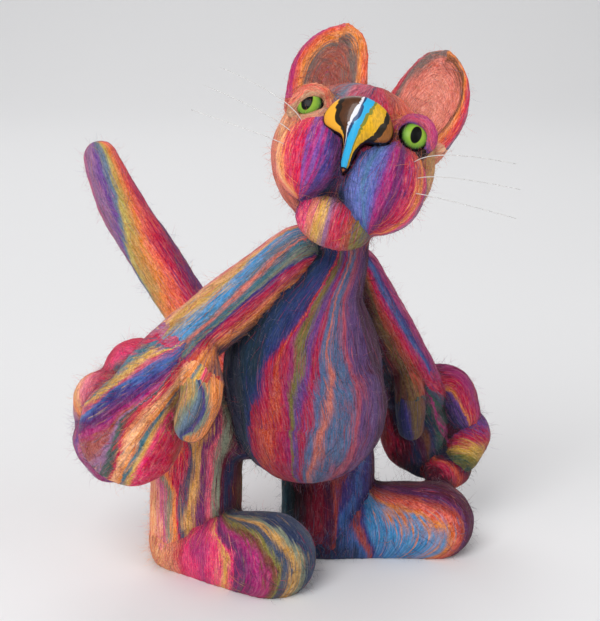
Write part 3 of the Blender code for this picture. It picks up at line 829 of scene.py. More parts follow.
class Fan:
    """Roving that fans out from a hub: over a foot from its instep, over a hand from its wrist."""

    def __init__(self, hub, axis, front):
        self.hub = np.array(hub, float)
        self.axis = unit(axis)
        front = np.array(front, float)
        self.front = unit(front - (front @ self.axis) * self.axis)
        self.side = np.cross(self.front, -self.axis)

    def flow(self, points):
        """Each point's place round the hub and out from it, and the roving's way."""
        offset = points - self.hub
        side, front, up = offset @ self.side, offset @ self.front, offset @ self.axis
        out = np.hypot(side, front)
        angle = np.arctan2(side, front)
        way = ((offset - np.outer(up, self.axis)) / np.maximum(out, 1.0)[:, None]
               - 0.8 * self.axis)
        return 0.5 + angle / (2.0 * math.pi), out - up, unit(way)


class Ear:
    """A rounded leaf, thick at its rim and hollow in front."""

    def __init__(self, foot, tip, outward):
        self.foot, self.rise = on_head(foot), on_head(tip) - on_head(foot)
        across = np.array((1.0, 0.0, 0.0))
        rise = unit(self.rise)
        self.across = unit(across - (across @ rise) * rise)
        self.forward = unit(np.cross(rise, self.across))
        self.outward = outward

    def lay(self, wool):
        rows, columns = EAR_GRID
        points, sheets = [], []
        for face in (0.5, -0.5):
            sheet = []
            for row in range(rows + 1):
                share = row / rows
                half = 0.5 * EAR_WIDTH * math.sqrt(max(0.002, 1.0 - share ** EAR_ROUND))
                bow = self.outward * EAR_BOW * math.sin(math.pi * share)
                middle = self.foot + self.rise * share + self.across * bow
                edge = []
                for column in range(columns + 1):
                    t = 2.0 * column / columns - 1.0
                    hollow = EAR_CUP * math.sqrt(1.0 - share) * (1.0 - t * t)
                    thick = (EAR_THICKNESS * (0.4 + 0.6 * math.sqrt(1.0 - t ** 4))
                             * (1.0 - 0.3 * share))
                    points.append(middle + self.across * half * t
                                  + self.forward * (face * thick - hollow))
                    edge.append(len(points) - 1)
                sheet.append(edge)
            sheets.append(sheet)
        front, rear = sheets
        faces = []
        for r in range(rows):
            for c in range(columns):
                corners = [(r, c), (r, c + 1), (r + 1, c + 1), (r + 1, c)]
                faces.append([front[row][column] for row, column in corners])
                faces.append([rear[row][column] for row, column in reversed(corners)])
        border = [(0, c) for c in range(columns)] + [(r, columns) for r in range(rows)]
        border += [(rows, c) for c in range(columns, 0, -1)]
        border += [(r, 0) for r in range(rows, 0, -1)]
        for (r, c), (next_r, next_c) in zip(border, border[1:] + border[:1]):
            faces.append([front[next_r][next_c], front[r][c], rear[r][c], rear[next_r][next_c]])
        wool.add(from_head(points), faces)

    def place(self, points):
        """For each point: share of the height, share of the half width, and in front or not."""
        local = (points - np.array(HEAD_CENTRE)) @ HEAD_AXES - self.foot
        height = np.linalg.norm(self.rise)
        share = local @ unit(self.rise) / height
        bow = self.outward * EAR_BOW * np.sin(math.pi * np.clip(share, 0.0, 1.0))
        width = (local @ self.across - bow) / (0.5 * EAR_WIDTH)
        hollow = EAR_CUP * np.sqrt(np.clip(1.0 - share, 0.0, 1.0)) * np.clip(
            1.0 - width ** 2, 0.0, 1.0)
        front = local @ self.forward + hollow
        return share, width, front

    def depth(self, points):
        """How far outside the leaf each point is; its foot belongs to the skull."""
        share, width, front = self.place(points)
        outline = np.sqrt(np.maximum(share, 0.0) ** EAR_ROUND + width ** 2) - 1.0
        outside = np.maximum(outline * 0.5 * EAR_WIDTH, np.abs(front) - 0.5 * EAR_THICKNESS)
        below = (EAR_ROOT_SHARE - share) * np.linalg.norm(self.rise)
        return np.where(
            share < EAR_ROOT_SHARE, np.maximum(outside, 0.0) + below, outside - 1.5)

    def flow(self, points):
        """Across: from the right rim, through the middle at 0.5, to the left rim."""
        share, width, _front = self.place(points)
        arch = np.sqrt(np.maximum(share, 0.0) ** EAR_ROUND + width ** 2)
        turn = np.arctan2(np.maximum(share, 0.0), width)
        along = turn * EAR_WIDTH
        side = np.where(width < 0.0, -1.0, 1.0)
        spread = arch + EAR_RIM_SPREAD * (1.0 - np.sin(turn))
        across = 0.5 + EAR_LANE_WIDTH * side * np.clip(spread, 0.0, 1.35)
        rise = unit(self.rise)
        way = (np.outer(-np.maximum(share, 0.05) ** 1.2 * 1.1, self.across)
               + np.outer(width, rise)) @ HEAD_AXES.T
        return across, along, unit(way)


def eye_axes(side):
    """The eye's own across, look and up, in the layout, and its middle."""
    centre = on_head((side * EYE_SIDE, 0.0, EYE_HEIGHT))
    centre[1] = skull_front(EYE_SIDE, EYE_HEIGHT) + EYE_STAND_OUT
    look = unit((side * EYE_LOOK[0], EYE_LOOK[1], EYE_LOOK[2]))
    across = unit(np.cross(look, (0.0, 0.0, 1.0)))
    axes = HEAD_AXES @ np.column_stack((across, look, np.cross(across, look)))
    return from_head(centre), axes


def fold(side, spots):
    """The stations of a fold of wool that lies over the rim of an eye."""
    centre, axes = eye_axes(side)
    return [(*(centre + axes @ np.array((side * out, ahead, up))), radius)
            for out, up, ahead, radius in spots]


def lid(side, start, end):
    """The stations of a felted lid: an arc round the eye between two angles."""
    centre, axes = eye_axes(side)
    reach = 0.5 * EYE_WIDTH + LID_SPREAD
    stations = []
    for share in np.linspace(0.0, 1.0, LID_STATIONS):
        angle = math.radians(start + (end - start) * share)
        radius = 0.5 * LID_THICKNESS * (0.6 + 0.4 * math.sin(math.pi * share))
        spot = (side * reach * math.cos(angle), 0.0, reach * math.sin(angle))
        stations.append((*(centre + axes @ np.array(spot)), radius))
    return stations


def flat_turn(angle):
    return turn_matrix((0.0, 0.0, angle))


FACE_FRONT = HEAD_AXES[:, 1]

# Every form of the cat, by name. A palm carries on the roving of its arm
FORMS = {
    "torso": Limb(TORSO, onward=BELLY_ONWARD),
    "arm_right": Limb(ARM_RIGHT),
    "arm_left": Limb(ARM_LEFT),
    "palm_right": Lobe(PALM_RIGHT, PALM_RIGHT_RADII, flat_turn(PALM_RIGHT_TURN)),
    "palm_left": Lobe(PALM_LEFT, PALM_LEFT_RADII, flat_turn(PALM_LEFT_TURN)),
    "thumb_right": Limb(THUMB_RIGHT),
    "thumb_left": Limb(THUMB_LEFT),
    "finger_right_1": Limb(FINGERS_RIGHT[0]),
    "finger_right_2": Limb(FINGERS_RIGHT[1], wound=True),
    "finger_right_3": Limb(FINGERS_RIGHT[2]),
    "finger_left_1": Limb(FINGERS_LEFT[0]),
    "finger_left_2": Limb(FINGERS_LEFT[1], wound=True),
    "finger_left_3": Limb(FINGERS_LEFT[2], wound=True),
    "leg_right": Limb(LEG_RIGHT, course=COURSE_LEG_RIGHT),
    "leg_left": Limb(LEG_LEFT),
    "foot_right": Limb(FOOT_RIGHT),
    "foot_left": Limb(FOOT_LEFT),
    "tail": Limb(TAIL),
    "skull": Lobe(HEAD_CENTRE, HALF_SKULL, HEAD_AXES, front=FACE_FRONT),
    "pad_right": Lobe(from_head(on_head(PAD_RIGHT)), on_head(PAD_RIGHT_RADII), HEAD_AXES,
                      front=FACE_FRONT),
    "pad_left": Lobe(from_head(on_head(PAD_LEFT)), on_head(PAD_LEFT_RADII), HEAD_AXES,
                     front=FACE_FRONT),
    "bridge": Lobe(from_head(on_head(BRIDGE)), on_head(BRIDGE_RADII), HEAD_AXES,
                   front=FACE_FRONT),
    "chin": Lobe(from_head(on_head(CHIN)), on_head(CHIN_RADII), HEAD_AXES, front=FACE_FRONT,
                 banded=True),
    "ear_right": Ear(EAR_RIGHT_FOOT, EAR_RIGHT_TIP, -1.0),
    "ear_left": Ear(EAR_LEFT_FOOT, EAR_LEFT_TIP, 1.0),
    "lid_right_upper": Limb(lid(-1.0, *UPPER_LID_ANGLES), front=FACE_FRONT),
    "lid_right_lower": Limb(lid(-1.0, *LOWER_LID_ANGLES), front=FACE_FRONT),
    "lid_left_upper": Limb(lid(1.0, *UPPER_LID_ANGLES), front=FACE_FRONT),
    "lid_left_lower": Limb(lid(1.0, *LOWER_LID_ANGLES), front=FACE_FRONT),
    "fold_right_upper": Limb(fold(-1.0, FOLD_RIGHT_UPPER), front=FACE_FRONT),
    "fold_right_lower": Limb(fold(-1.0, FOLD_RIGHT_LOWER), front=FACE_FRONT),
    "fold_left_upper": Limb(fold(1.0, FOLD_LEFT_UPPER), front=FACE_FRONT),
}
FLAT_TO_CAMERA = (TO_CAMERA[0], TO_CAMERA[1], 0.0)
UP = (0.0, 0.0, 1.0)

# Roving that isn't laid along its own form but fans over it
FANS = {
    "hand_right": Fan(WRIST_RIGHT, FLAT_TO_CAMERA, np.array(PALM_RIGHT) - WRIST_RIGHT),
    "hand_left": Fan(WRIST_LEFT, FLAT_TO_CAMERA, np.array(PALM_LEFT) - WRIST_LEFT),
    "instep_right": Fan(INSTEP_RIGHT, UP, FLAT_TO_CAMERA),
    "instep_left": Fan(INSTEP_LEFT, UP, FLAT_TO_CAMERA),
}
FLOWS = {**FORMS, **FANS}
NAMES = list(FLOWS)
SOLID_NAMES = list(FORMS)
CARRIED_BY = {
    "palm_right": "hand_right", "palm_left": "hand_left", "bridge": "skull",
    "foot_right": "instep_right", "foot_left": "instep_left",
    "fold_right_upper": "lid_right_upper", "fold_right_lower": "lid_right_lower",
    "fold_left_upper": "lid_left_upper",
}


def depths_at(points):
    """How far outside each form the points are, one column for each form."""
    columns = []
    for name in SOLID_NAMES:
        columns.append(FORMS[name].depth(points))
    return np.column_stack(columns)


def tongues(across, along, count, length):
    """How far roving runs on from one form to the next round its border, in millimetres."""
    turn = 2.0 * math.pi * across * count
    return length * (np.sin(turn + 0.08 * along) + 0.5 * np.sin(2.0 * turn + 1.0))


def forms_at(points, depths):
    """The number of the flow that the roving follows at each point of the skin."""
    owner = depths.argmin(1)
    for side, reach in (("right", WRIST_RIGHT_REACH), ("left", WRIST_LEFT_REACH)):
        arm, hand = NAMES.index("arm_" + side), NAMES.index("hand_" + side)
        thumb = NAMES.index("thumb_" + side)
        upper = np.flatnonzero(owner == thumb)
        across, along, _way = FORMS["thumb_" + side].flow(points[upper])
        owner[upper[along + tongues(across, along, *THUMB_TONGUES) < THUMB_ROOT]] = arm
        mine = np.flatnonzero(owner == arm)
        across, along, _way = FORMS["arm_" + side].flow(points[mine])
        owner[mine[along + tongues(across, along, *WRIST_TONGUES) > reach]] = hand
    for name, carrier in CARRIED_BY.items():
        owner[owner == NAMES.index(name)] = NAMES.index(carrier)
    return owner


# Meshes

def make_object(name, points, faces, materials):
    """A new piece in the scene, with its mesh and its materials."""
    mesh = bpy.data.meshes.new(name)
    mesh.from_pydata([tuple(point) for point in points], [], faces)
    for material in materials:
        mesh.materials.append(material)
    mesh.update()
    obj = bpy.data.objects.new(name, mesh)
    bpy.context.scene.collection.objects.link(obj)
    return obj


def select_only(obj):
    """Deselect everything else and make the object the active one."""
    for other in bpy.context.selected_objects:
        other.select_set(False)
    bpy.context.view_layer.objects.active = obj
    obj.select_set(True)


def apply_modifier(obj, kind, **settings):
    """Add a modifier with its settings and apply it at once."""
    select_only(obj)
    modifier = obj.modifiers.new(kind.lower(), kind)
    for key, value in settings.items():
        setattr(modifier, key, value)
    bpy.ops.object.modifier_apply(modifier=modifier.name)
    obj.select_set(False)


def make_outward(obj):
    """Turn all the faces of a closed shape outwards."""
    select_only(obj)
    bpy.ops.object.mode_set(mode="EDIT")
    bpy.ops.mesh.select_all(action="SELECT")
    bpy.ops.mesh.normals_make_consistent(inside=False)
    bpy.ops.object.mode_set(mode="OBJECT")
    obj.select_set(False)


def read_whole(items, key, width=1):
    """Whole numbers of a mesh's items, in rows if each item has more than one."""
    flat = np.empty(len(items) * width, np.int32)
    items.foreach_get(key, flat)
    return flat.reshape(-1, width) if width > 1 else flat


def read_places(items, key):
    """A place or a direction for each of a mesh's items."""
    flat = np.empty(len(items) * 3, np.float32)
    items.foreach_get(key, flat)
    return flat.reshape(-1, 3).astype(float)


def write(items, key, values):
    """Store values in a mesh's items, one row for each item."""
    items.foreach_set(key, np.asarray(values, np.float32).ravel())


def get_points(mesh):
    return read_places(mesh.vertices, "co")


def get_normals(mesh):
    return read_places(mesh.vertex_normals, "vector")


def set_points(mesh, points):
    write(mesh.vertices, "co", points)
    mesh.update()


def corner_data(mesh):
    """The vertex of each face corner, each face's first corner and its corner count."""
    return (read_whole(mesh.loops, "vertex_index"), read_whole(mesh.polygons, "loop_start"),
            read_whole(mesh.polygons, "loop_total"))


def smooth_faces(mesh):
    mesh.polygons.foreach_set("use_smooth", np.ones(len(mesh.polygons), bool))


def rings_round(lines, half_widths, sides, lean):
    """Rings of points round each step of the lines, begun on a side away from the lean."""
    along = unit(np.gradient(lines, axis=-2))
    aside = unit(np.cross(along, np.array(lean)))
    other = np.cross(along, aside)
    spots = []
    for corner in range(sides):
        angle = 2.0 * math.pi * corner / sides
        spoke = aside * math.cos(angle) + other * math.sin(angle)
        spots.append(lines + spoke * half_widths[..., None])
    return np.stack(spots, axis=-2)


def tube_faces(rings, sides):
    """The faces between neighbouring rings of points."""
    faces = []
    for ring in range(rings - 1):
        low, high = ring * sides, (ring + 1) * sides
        for corner in range(sides):
            after = (corner + 1) % sides
            faces.append((low + corner, low + after, high + after, high + corner))
    return faces


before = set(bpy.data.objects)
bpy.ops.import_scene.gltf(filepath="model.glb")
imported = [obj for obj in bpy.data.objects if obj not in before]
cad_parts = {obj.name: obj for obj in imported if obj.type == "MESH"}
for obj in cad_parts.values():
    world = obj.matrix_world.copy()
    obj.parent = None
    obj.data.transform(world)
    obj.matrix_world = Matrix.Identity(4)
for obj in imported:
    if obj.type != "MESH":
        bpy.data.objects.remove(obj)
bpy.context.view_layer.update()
rng = np.random.default_rng(SEED)

# From the layout's millimetres to the frame's metres: the right eye ties them together
eye_low, eye_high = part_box("right_eye")
SHIFT = np.array((eye_low + eye_high) * 0.5) - eye_axes(-1.0)[0] * MM


def to_frame(points):
    return np.asarray(points, float) * MM + SHIFT


# Wool skin

class Roving:
    """The dyed lanes over one form, laid out from its table."""

    def __init__(self, name):
        front, rows, back = LANES[name]
        dyes = front.split()
        ends = [[float(word) for word in rows[along].split()] for along in sorted(rows)]
        if back:
            round_back = back.split()
            dyes = round_back[3:] + dyes + round_back[:4]
            half = len(BACK_SHARES) // 2
            ends = [list(BACK_SHARES[:half]) + row + list(BACK_SHARES[half:]) for row in ends]
        self.dyes = dyes
        # The form's painted light and shade, which darkens or lightens its colour
        self.depth = FORM_PAINTED_LIGHT.get(name, 1.0)
        self.rows = np.array(sorted(rows), float)
        ends = np.array([[0.0] + row + [1.0] for row in ends])
        self.ends = np.maximum.accumulate(ends, axis=1)
        self.girth = GRAIN_GIRTH.get(name.split("_")[0], OTHER_GRAIN_GIRTH)

    def lane(self, across, along):
        """The lane at each point: whole numbers are its edges."""
        edges = np.column_stack([
            np.interp(along, self.rows, self.ends[:, column])
            for column in range(self.ends.shape[1])])
        number = (across[:, None] >= edges[:, 1:-1]).sum(1)
        row = np.arange(len(across))
        start, end = edges[row, number], edges[row, number + 1]
        share = (across - start) / np.maximum(end - start, 1e-4)
        return number + np.clip(share, 0.0, 1.0)

    def grain(self, across, along):
        """A seamless place in the roving, in millimetres: round the form and along it."""
        turn = 2.0 * math.pi * across
        radius = self.girth / (2.0 * math.pi)
        return np.column_stack((radius * np.cos(turn), radius * np.sin(turn), along))

    def colour(self, lane):
        """The plain dyed colour in a lane, soft towards its neighbours."""
        table = np.array([linear(DYES[dye]) for dye in self.dyes])
        place = np.clip(lane - 0.5, 0.0, len(table) - 1.001)
        number = place.astype(int)
        share = np.clip((place - number - 0.3) / 0.4, 0.0, 1.0)[:, None]
        after = np.minimum(number + 1, len(table) - 1)
        return table[number] * (1.0 - share) + table[after] * share


def rough(points, seed):
    """Smooth noise from -1 to 1 with a grain of one unit."""
    cell = np.floor(points).astype(np.int64)
    part = points - cell
    part = part * part * (3.0 - 2.0 * part)
    total = np.zeros(len(points))
    for corner in np.ndindex(2, 2, 2):
        spot = (cell + corner) @ np.array((73856093, 19349663, 83492791)) + seed * 7919
        spot = (spot ^ (spot >> 13)) * 1274126177
        value = ((spot ^ (spot >> 16)) & 65535) / 65535.0
        weight = np.prod(np.where(np.array(corner) == 1, part, 1.0 - part), axis=1)
        total += value * weight
    return 2.0 * total - 1.0


def make_skin():
    """Melt all the forms into one fine skin, in the layout's millimetres."""
    wool = LaidWool()
    for form in FORMS.values():
        form.lay(wool)
    skin = make_object("felted_wool", np.vstack(wool.points), wool.faces, [])
    apply_modifier(skin, "REMESH", mode="VOXEL", voxel_size=SKIN_CELL)
    apply_modifier(skin, "SMOOTH", factor=SKIN_SMOOTHING, iterations=SKIN_SOFTENING)
    return skin


def cut_seats(skin):
    """Cut the sockets of the eyes and the seat of the nose into the wool."""
    for solid in (eye_ball("socket_right", -1.0, SEAT_GAP), eye_ball("socket_left", 1.0, SEAT_GAP),
                  nose_shield("nose_seat", SEAT_GAP)):
        apply_modifier(skin, "BOOLEAN", operation="DIFFERENCE", solver="EXACT", object=solid)
        bpy.data.objects.remove(solid, do_unlink=True)


def creases(mesh, points):
    """How deep in a crease each point of the skin lies, from 0 to 1."""
    one, two = read_whole(mesh.edges, "vertices", 2).T
    count = len(points)
    links = np.bincount(one, minlength=count) + np.bincount(two, minlength=count)
    spread = points.copy()
    for _round in range(CREASE_ROUNDS):
        total = np.column_stack([
            np.bincount(one, spread[two, axis], count) + np.bincount(two, spread[one, axis], count)
            for axis in range(3)])
        spread = total / np.maximum(links, 1)[:, None]
    hollow = ((spread - points) * get_normals(mesh)).sum(1)
    return np.clip(hollow / CREASE_DEPTH, 0.0, 1.0)


def wandering_depths(points):
    """The depths of the points in every form, uneven as hand-laid edges are."""
    depths = depths_at(points)
    for column in range(depths.shape[1]):
        depths[:, column] += EDGE_WANDER * rough(points / EDGE_GRAIN, 40 + column)
    return depths


def border_steps(points, normals, depths):
    """Small moves along the skin that bring its nearest points onto the borders of forms."""
    row = np.arange(len(points))
    order = np.argpartition(depths, 1, axis=1)[:, :2]
    first, second = order.T
    gap = depths[row, first] - depths[row, second]
    near = np.flatnonzero(np.abs(gap) < 2.0 * BORDER_REACH)
    slope = np.zeros((len(near), 3))
    for axis in range(3):
        moved = points[near].copy()
        moved[:, axis] += BORDER_PROBE
        there = wandering_depths(moved)
        line = np.arange(len(near))
        change = there[line, first[near]] - there[line, second[near]] - gap[near]
        slope[:, axis] = change / BORDER_PROBE
    slope -= (slope * normals[near]).sum(1, keepdims=True) * normals[near]
    steep = (slope ** 2).sum(1)
    step = -(gap[near] / np.maximum(steep, 0.05))[:, None] * slope
    step[np.linalg.norm(step, axis=1) > BORDER_REACH] = 0.0
    steps = np.zeros_like(points)
    steps[near] = step
    return steps


def each_form(owner):
    """The flow and the roving of each form that owns anything, and which places it owns."""
    for number in np.unique(owner):
        name = NAMES[number]
        yield FLOWS[name], rovings[name], np.flatnonzero(owner == number)


def dress_skin(skin):
    """Give the skin its relief, its lanes and its grain. Returns what the fibres need."""
    mesh = skin.data
    points = get_points(mesh)
    points[:, 2] = np.maximum(points[:, 2], 0.0)
    set_points(mesh, points)
    corners, starts, counts = corner_data(mesh)
    depths = wandering_depths(points)
    points = points + border_steps(points, get_normals(mesh), depths)
    points[:, 2] = np.maximum(points[:, 2], 0.0)
    set_points(mesh, points)
    depths = wandering_depths(points)
    owner = forms_at(points, depths)
    face_depths = np.add.reduceat(depths[corners], starts, axis=0) / counts[:, None]
    centres = np.add.reduceat(points[corners], starts, axis=0) / counts[:, None]
    face_owner = forms_at(centres, face_depths)
    nearest = face_depths.min(1)
    face_depths[np.arange(len(centres)), face_depths.argmin(1)] = 1e3
    margin = face_depths.min(1) - nearest
    neighbour = forms_at(centres, face_depths)
    # How deep each point lies in a crease, kept on the skin for the painted shade in its creases
    shade = creases(mesh, points)
    crease = mesh.attributes.new("Crease", "FLOAT", "POINT")
    write(crease.data, "value", shade)
    face_shade = np.add.reduceat(shade[corners], starts) / counts

    lift = LUMP_HEIGHT * rough(points / LUMP_GRAIN, 3)
    for form, roving, mine in each_form(owner):
        across, along, _way = form.flow(points[mine])
        grain = roving.grain(across, along)
        lift[mine] += RIDGE_HEIGHT * rough(grain * WIDE_STRAND_GRAIN, 5)
        lift[mine] += 0.5 * RIDGE_HEIGHT * rough(grain * THIN_STRAND_GRAIN, 6)

    owner_of_corner = np.repeat(face_owner, counts)
    lanes = np.zeros(len(corners))
    grains = np.zeros((len(corners), 3))
    for form, roving, mine in each_form(owner_of_corner):
        across, along, _way = form.flow(points[corners[mine]])
        lanes[mine] = across
        grains[mine] = roving.grain(across, along)
    low = np.minimum.reduceat(lanes, starts)
    high = np.maximum.reduceat(lanes, starts)
    torn = np.repeat(high - low > 0.5, counts) & (lanes < 0.5)
    ear = np.isin(owner_of_corner, [NAMES.index("ear_right"), NAMES.index("ear_left")])
    lanes[torn & ~ear] += 1.0
    lanes[torn & ear] = 1.0 - lanes[torn & ear]
    for _form, roving, mine in each_form(owner_of_corner):
        lanes[mine] = roving.lane(lanes[mine], grains[mine, 2])
    flow = mesh.uv_layers.new(name="Flow")
    write(flow.data, "uv", np.column_stack((lanes / MOST_LANES, grains[:, 2] / 100.0)))
    grain = mesh.attributes.new("Grain", "FLOAT_VECTOR", "CORNER")
    write(grain.data, "vector", grains)
    mesh.polygons.foreach_set("material_index", face_owner.astype(np.int32))
    smooth_faces(mesh)

    lift[points[:, 2] < FLAT_SOLE] = 0.0
    lifted = points + get_normals(mesh) * lift[:, None]
    lifted[:, 2] = np.maximum(lifted[:, 2], 0.0)
    set_points(mesh, lifted)
    return lifted, (face_owner, neighbour, margin, face_shade)


# Loose fibres

def scatter(mesh, points, layout, count):
    """Roots over the skin, closer where forms meet: places, outward ways, flow and shade."""
    face_owner, neighbour, margin, face_shade = layout
    mesh.calc_loop_triangles()
    faces = read_whole(mesh.loop_triangles, "polygon_index")
    a, b, c = (points[corner] for corner in read_whole(mesh.loop_triangles, "vertices", 3).T)
    cross = np.cross(b - a, c - a)
    area = np.linalg.norm(cross, axis=1)
    area[(a[:, 2] < 0.3) | (area < 1e-6)] = 0.0
    area *= 1.0 + MINGLE_CROWD * (margin[faces] < MINGLE)
    chosen = rng.choice(len(area), count, p=area / area.sum())
    s, t = rng.random(count), rng.random(count)
    folded = s + t > 1.0
    s[folded], t[folded] = 1.0 - s[folded], 1.0 - t[folded]
    s, t = s[:, None], t[:, None]
    roots = a[chosen] + s * (b - a)[chosen] + t * (c - a)[chosen]
    face = faces[chosen]
    crossing = rng.random(count) < 0.5 * np.clip(1.0 - margin[face] / MINGLE, 0.0, 1.0)
    owner = np.where(crossing, neighbour[face], face_owner[face])
    return roots, unit(cross[chosen]), owner, 1.0 - CREASE_SHADE * face_shade[face]


def dye_of(roots, owner, jitter):
    """The colour of the wool that each fibre grows from, with its form's painted light and shade.
    """
    colours = np.zeros((len(roots), 3))
    for form, roving, mine in each_form(owner):
        across, along, _way = form.flow(roots[mine])
        lane = roving.lane(across, along) + rng.normal(0.0, jitter, len(mine))
        stray = rng.random(len(mine)) < STRAY_SHARE
        lane[stray] += rng.normal(0.0, STRAY_REACH, stray.sum())
        # Darkened or lightened by the form's painted light and shade
        colours[mine] = roving.colour(lane) * roving.depth
    grey = colours.mean(1, keepdims=True)
    return colours + LOOSE_GREY * (grey - colours)


def ways_of(roots, owner):
    """The way that the roving runs at each root."""
    ways = np.zeros((len(roots), 3))
    for form, _roving, mine in each_form(owner):
        ways[mine] = form.flow(roots[mine])[2]
    return ways


def fibre_mesh(name, lines, widths, colours, material):
    """Closed three-sided threads along the lines, each with one colour."""
    count, steps, _axes = lines.shape
    taper = np.sin(np.linspace(*FIBRE_TAPER, steps) * math.pi) ** 0.5
    rings = rings_round(lines, 0.5 * widths[:, None] * taper, 3, FIBRE_LEAN)
    points = rings.reshape(-1, 3)
    points[:, 2] = np.maximum(points[:, 2], FIBRE_GROUND)
    faces = tube_faces(steps, 3)
    caps = np.array(((2, 1, 0), (3 * steps - 3, 3 * steps - 2, 3 * steps - 1)))
    base = (np.arange(count) * steps * 3)[:, None, None]
    quads = (np.array(faces)[None] + base).reshape(-1, 4)
    caps = (caps[None] + base).reshape(-1, 3)
    mesh = bpy.data.meshes.new(name)
    mesh.vertices.add(len(points))
    write(mesh.vertices, "co", to_frame(points))
    mesh.loops.add(quads.size + caps.size)
    mesh.loops.foreach_set("vertex_index", np.concatenate((quads.ravel(), caps.ravel())))
    mesh.polygons.add(len(quads) + len(caps))
    starts = np.concatenate((np.arange(len(quads)) * 4, quads.size + np.arange(len(caps)) * 3))
    mesh.polygons.foreach_set("loop_start", starts)
    smooth_faces(mesh)
    mesh.update(calc_edges=True)
    mesh.validate()
    tint = mesh.attributes.new("Dye", "FLOAT_COLOR", "POINT")
    write(tint.data, "color", np.column_stack((
        np.repeat(colours, steps * 3, axis=0), np.ones(len(points)))))

    # Each fibre has a cell of its own in the square, so it keeps one colour there
    cells = math.ceil(math.sqrt(count))
    fibre = np.concatenate((np.repeat(np.arange(count), len(faces) * 4),
                            np.repeat(np.arange(count), 6)))
    place = np.column_stack((fibre % cells, fibre // cells)) + 0.2
    square = ((0.0, 0.0), (0.6, 0.0), (0.6, 0.6), (0.0, 0.6))
    spread = np.concatenate((np.tile(square, (len(quads), 1)),
                             np.tile(square[:3], (len(caps), 1))))
    write(mesh.uv_layers.new(name="OFBake").data, "uv", (place + spread) / cells)
    mesh.materials.append(material)
    obj = bpy.data.objects.new(name, mesh)
    bpy.context.scene.collection.objects.link(obj)
    return obj


def lying_fibres(name, count, tree):
    """Fibres that lie on the skin along its roving, with their ends worked in."""
    roots, outward, owner, shade = scatter(skin.data, skin_points, skin_layout, count)
    ways = ways_of(roots, owner)
    ways += rng.normal(0.0, LYING_TURN, ways.shape)
    ways = unit(ways - (ways * outward).sum(1, keepdims=True) * outward)
    reach = rng.uniform(*LYING_LENGTH, count) / (LYING_STEPS - 1)
    bend = rng.normal(0.0, LYING_BEND, count)
    lift = rng.uniform(*LYING_LIFT, count)
    spots, turned = roots.copy(), outward.copy()
    line = []
    for step in range(LYING_STEPS):
        arch = math.sin(math.pi * step / (LYING_STEPS - 1))
        line.append(spots + turned * (lift * arch - LYING_SUNK)[:, None])
        ways = unit(ways + np.cross(turned, ways) * bend[:, None])
        ahead = spots + ways * reach[:, None]
        for index in range(count):
            near, normal, _face, _far = tree.find_nearest(Vector(ahead[index]))
            spots[index], turned[index] = near, normal
        ways = unit(ways - (ways * turned).sum(1, keepdims=True) * turned)
    colours = dye_of(roots, owner, LYING_JITTER)
    # Painted crease shade at the root, times a random tone for each fibre
    colours = colours * (shade * rng.uniform(*LYING_SHADES, count))[:, None]
    widths = LYING_WIDTH * rng.uniform(*LYING_WIDTHS, count)
    return fibre_mesh(name, np.stack(line, axis=1), widths, colours, loose_wool)


def flyaway_fibres(name, count):
    """Fine fibres that stand out of the felt and curl."""
    roots, outward, owner, shade = scatter(skin.data, skin_points, skin_layout, count)
    ways = ways_of(roots, owner) * rng.choice((-1.0, 1.0), (count, 1))
    heading = unit(outward * rng.uniform(*FLYAWAY_STAND, (count, 1)) + FLYAWAY_LEAN * ways
                   + rng.normal(0.0, FLYAWAY_SPREAD, (count, 3)))
    shortest, longest = FLYAWAY_LENGTH
    reach = (shortest + (longest - shortest)
             * rng.random(count) ** FLYAWAY_SHORTNESS) / (FLYAWAY_STEPS - 1)
    twist = rng.normal(0.0, FLYAWAY_CURL, (count, 3))
    spots = roots - outward * FLYAWAY_ROOT
    line = []
    for _step in range(FLYAWAY_STEPS):
        line.append(spots)
        spots = spots + heading * reach[:, None]
        heading = unit(heading + FLYAWAY_CURL * np.cross(twist, heading)
                       + rng.normal(0.0, FLYAWAY_WOBBLE, (count, 3)))
    colours = dye_of(roots, owner, FLYAWAY_JITTER)
    # Painted crease shade at the root, times a random tone for each fibre; pale fibres take the
    # painted shade too
    colours = colours * (shade * rng.uniform(*FLYAWAY_SHADES, count))[:, None] + LOOSE_LIGHT
    pale = (rng.random(count) < PALE_SHARE)[:, None] * 0.5
    colours = colours * (1.0 - pale) + np.array(PALE_WOOL) * pale * shade[:, None]
    widths = FLYAWAY_WIDTH * rng.uniform(*FLYAWAY_WIDTHS, count)
    return fibre_mesh(name, np.stack(line, axis=1), widths, colours, loose_wool)


# Eyes, nose and whiskers

def eye_ball(name, side, grow=0.0):
    """The domed glass eye, its pole turned the way it looks; a grown one cuts its socket."""
    centre, axes = eye_axes(side)
    points, faces = ball_mesh(*EYE_GRID)
    half, deep = 0.5 * EYE_WIDTH + grow, 0.5 * EYE_DEPTH + grow
    local = np.column_stack((points[:, 0] * half, points[:, 2] * deep, -points[:, 1] * half))
    eye = make_object(name, centre + local @ axes.T, faces, [])
    face_map = eye.data.uv_layers.new(name="Face")
    corners = read_whole(eye.data.loops, "vertex_index")
    write(face_map.data, "uv",
          np.column_stack((local[corners, 0] * side, local[corners, 2])) / half)
    return eye


def nose_outline(grow):
    """One side of the shield from the top of the nose to the tail's end, as (x, z)."""
    knots = np.array(NOSE_OUTLINE) * (0.5 * NOSE_WIDTH, NOSE_HEIGHT)
    points = smooth_through(knots, NOSE_OUTLINE_STEPS)
    along = unit(np.gradient(points, axis=0))
    out = np.column_stack((-along[:, 1], along[:, 0]))
    out[0], out[-1] = (0.0, 1.0), (0.0, -1.0)
    return points + out * grow


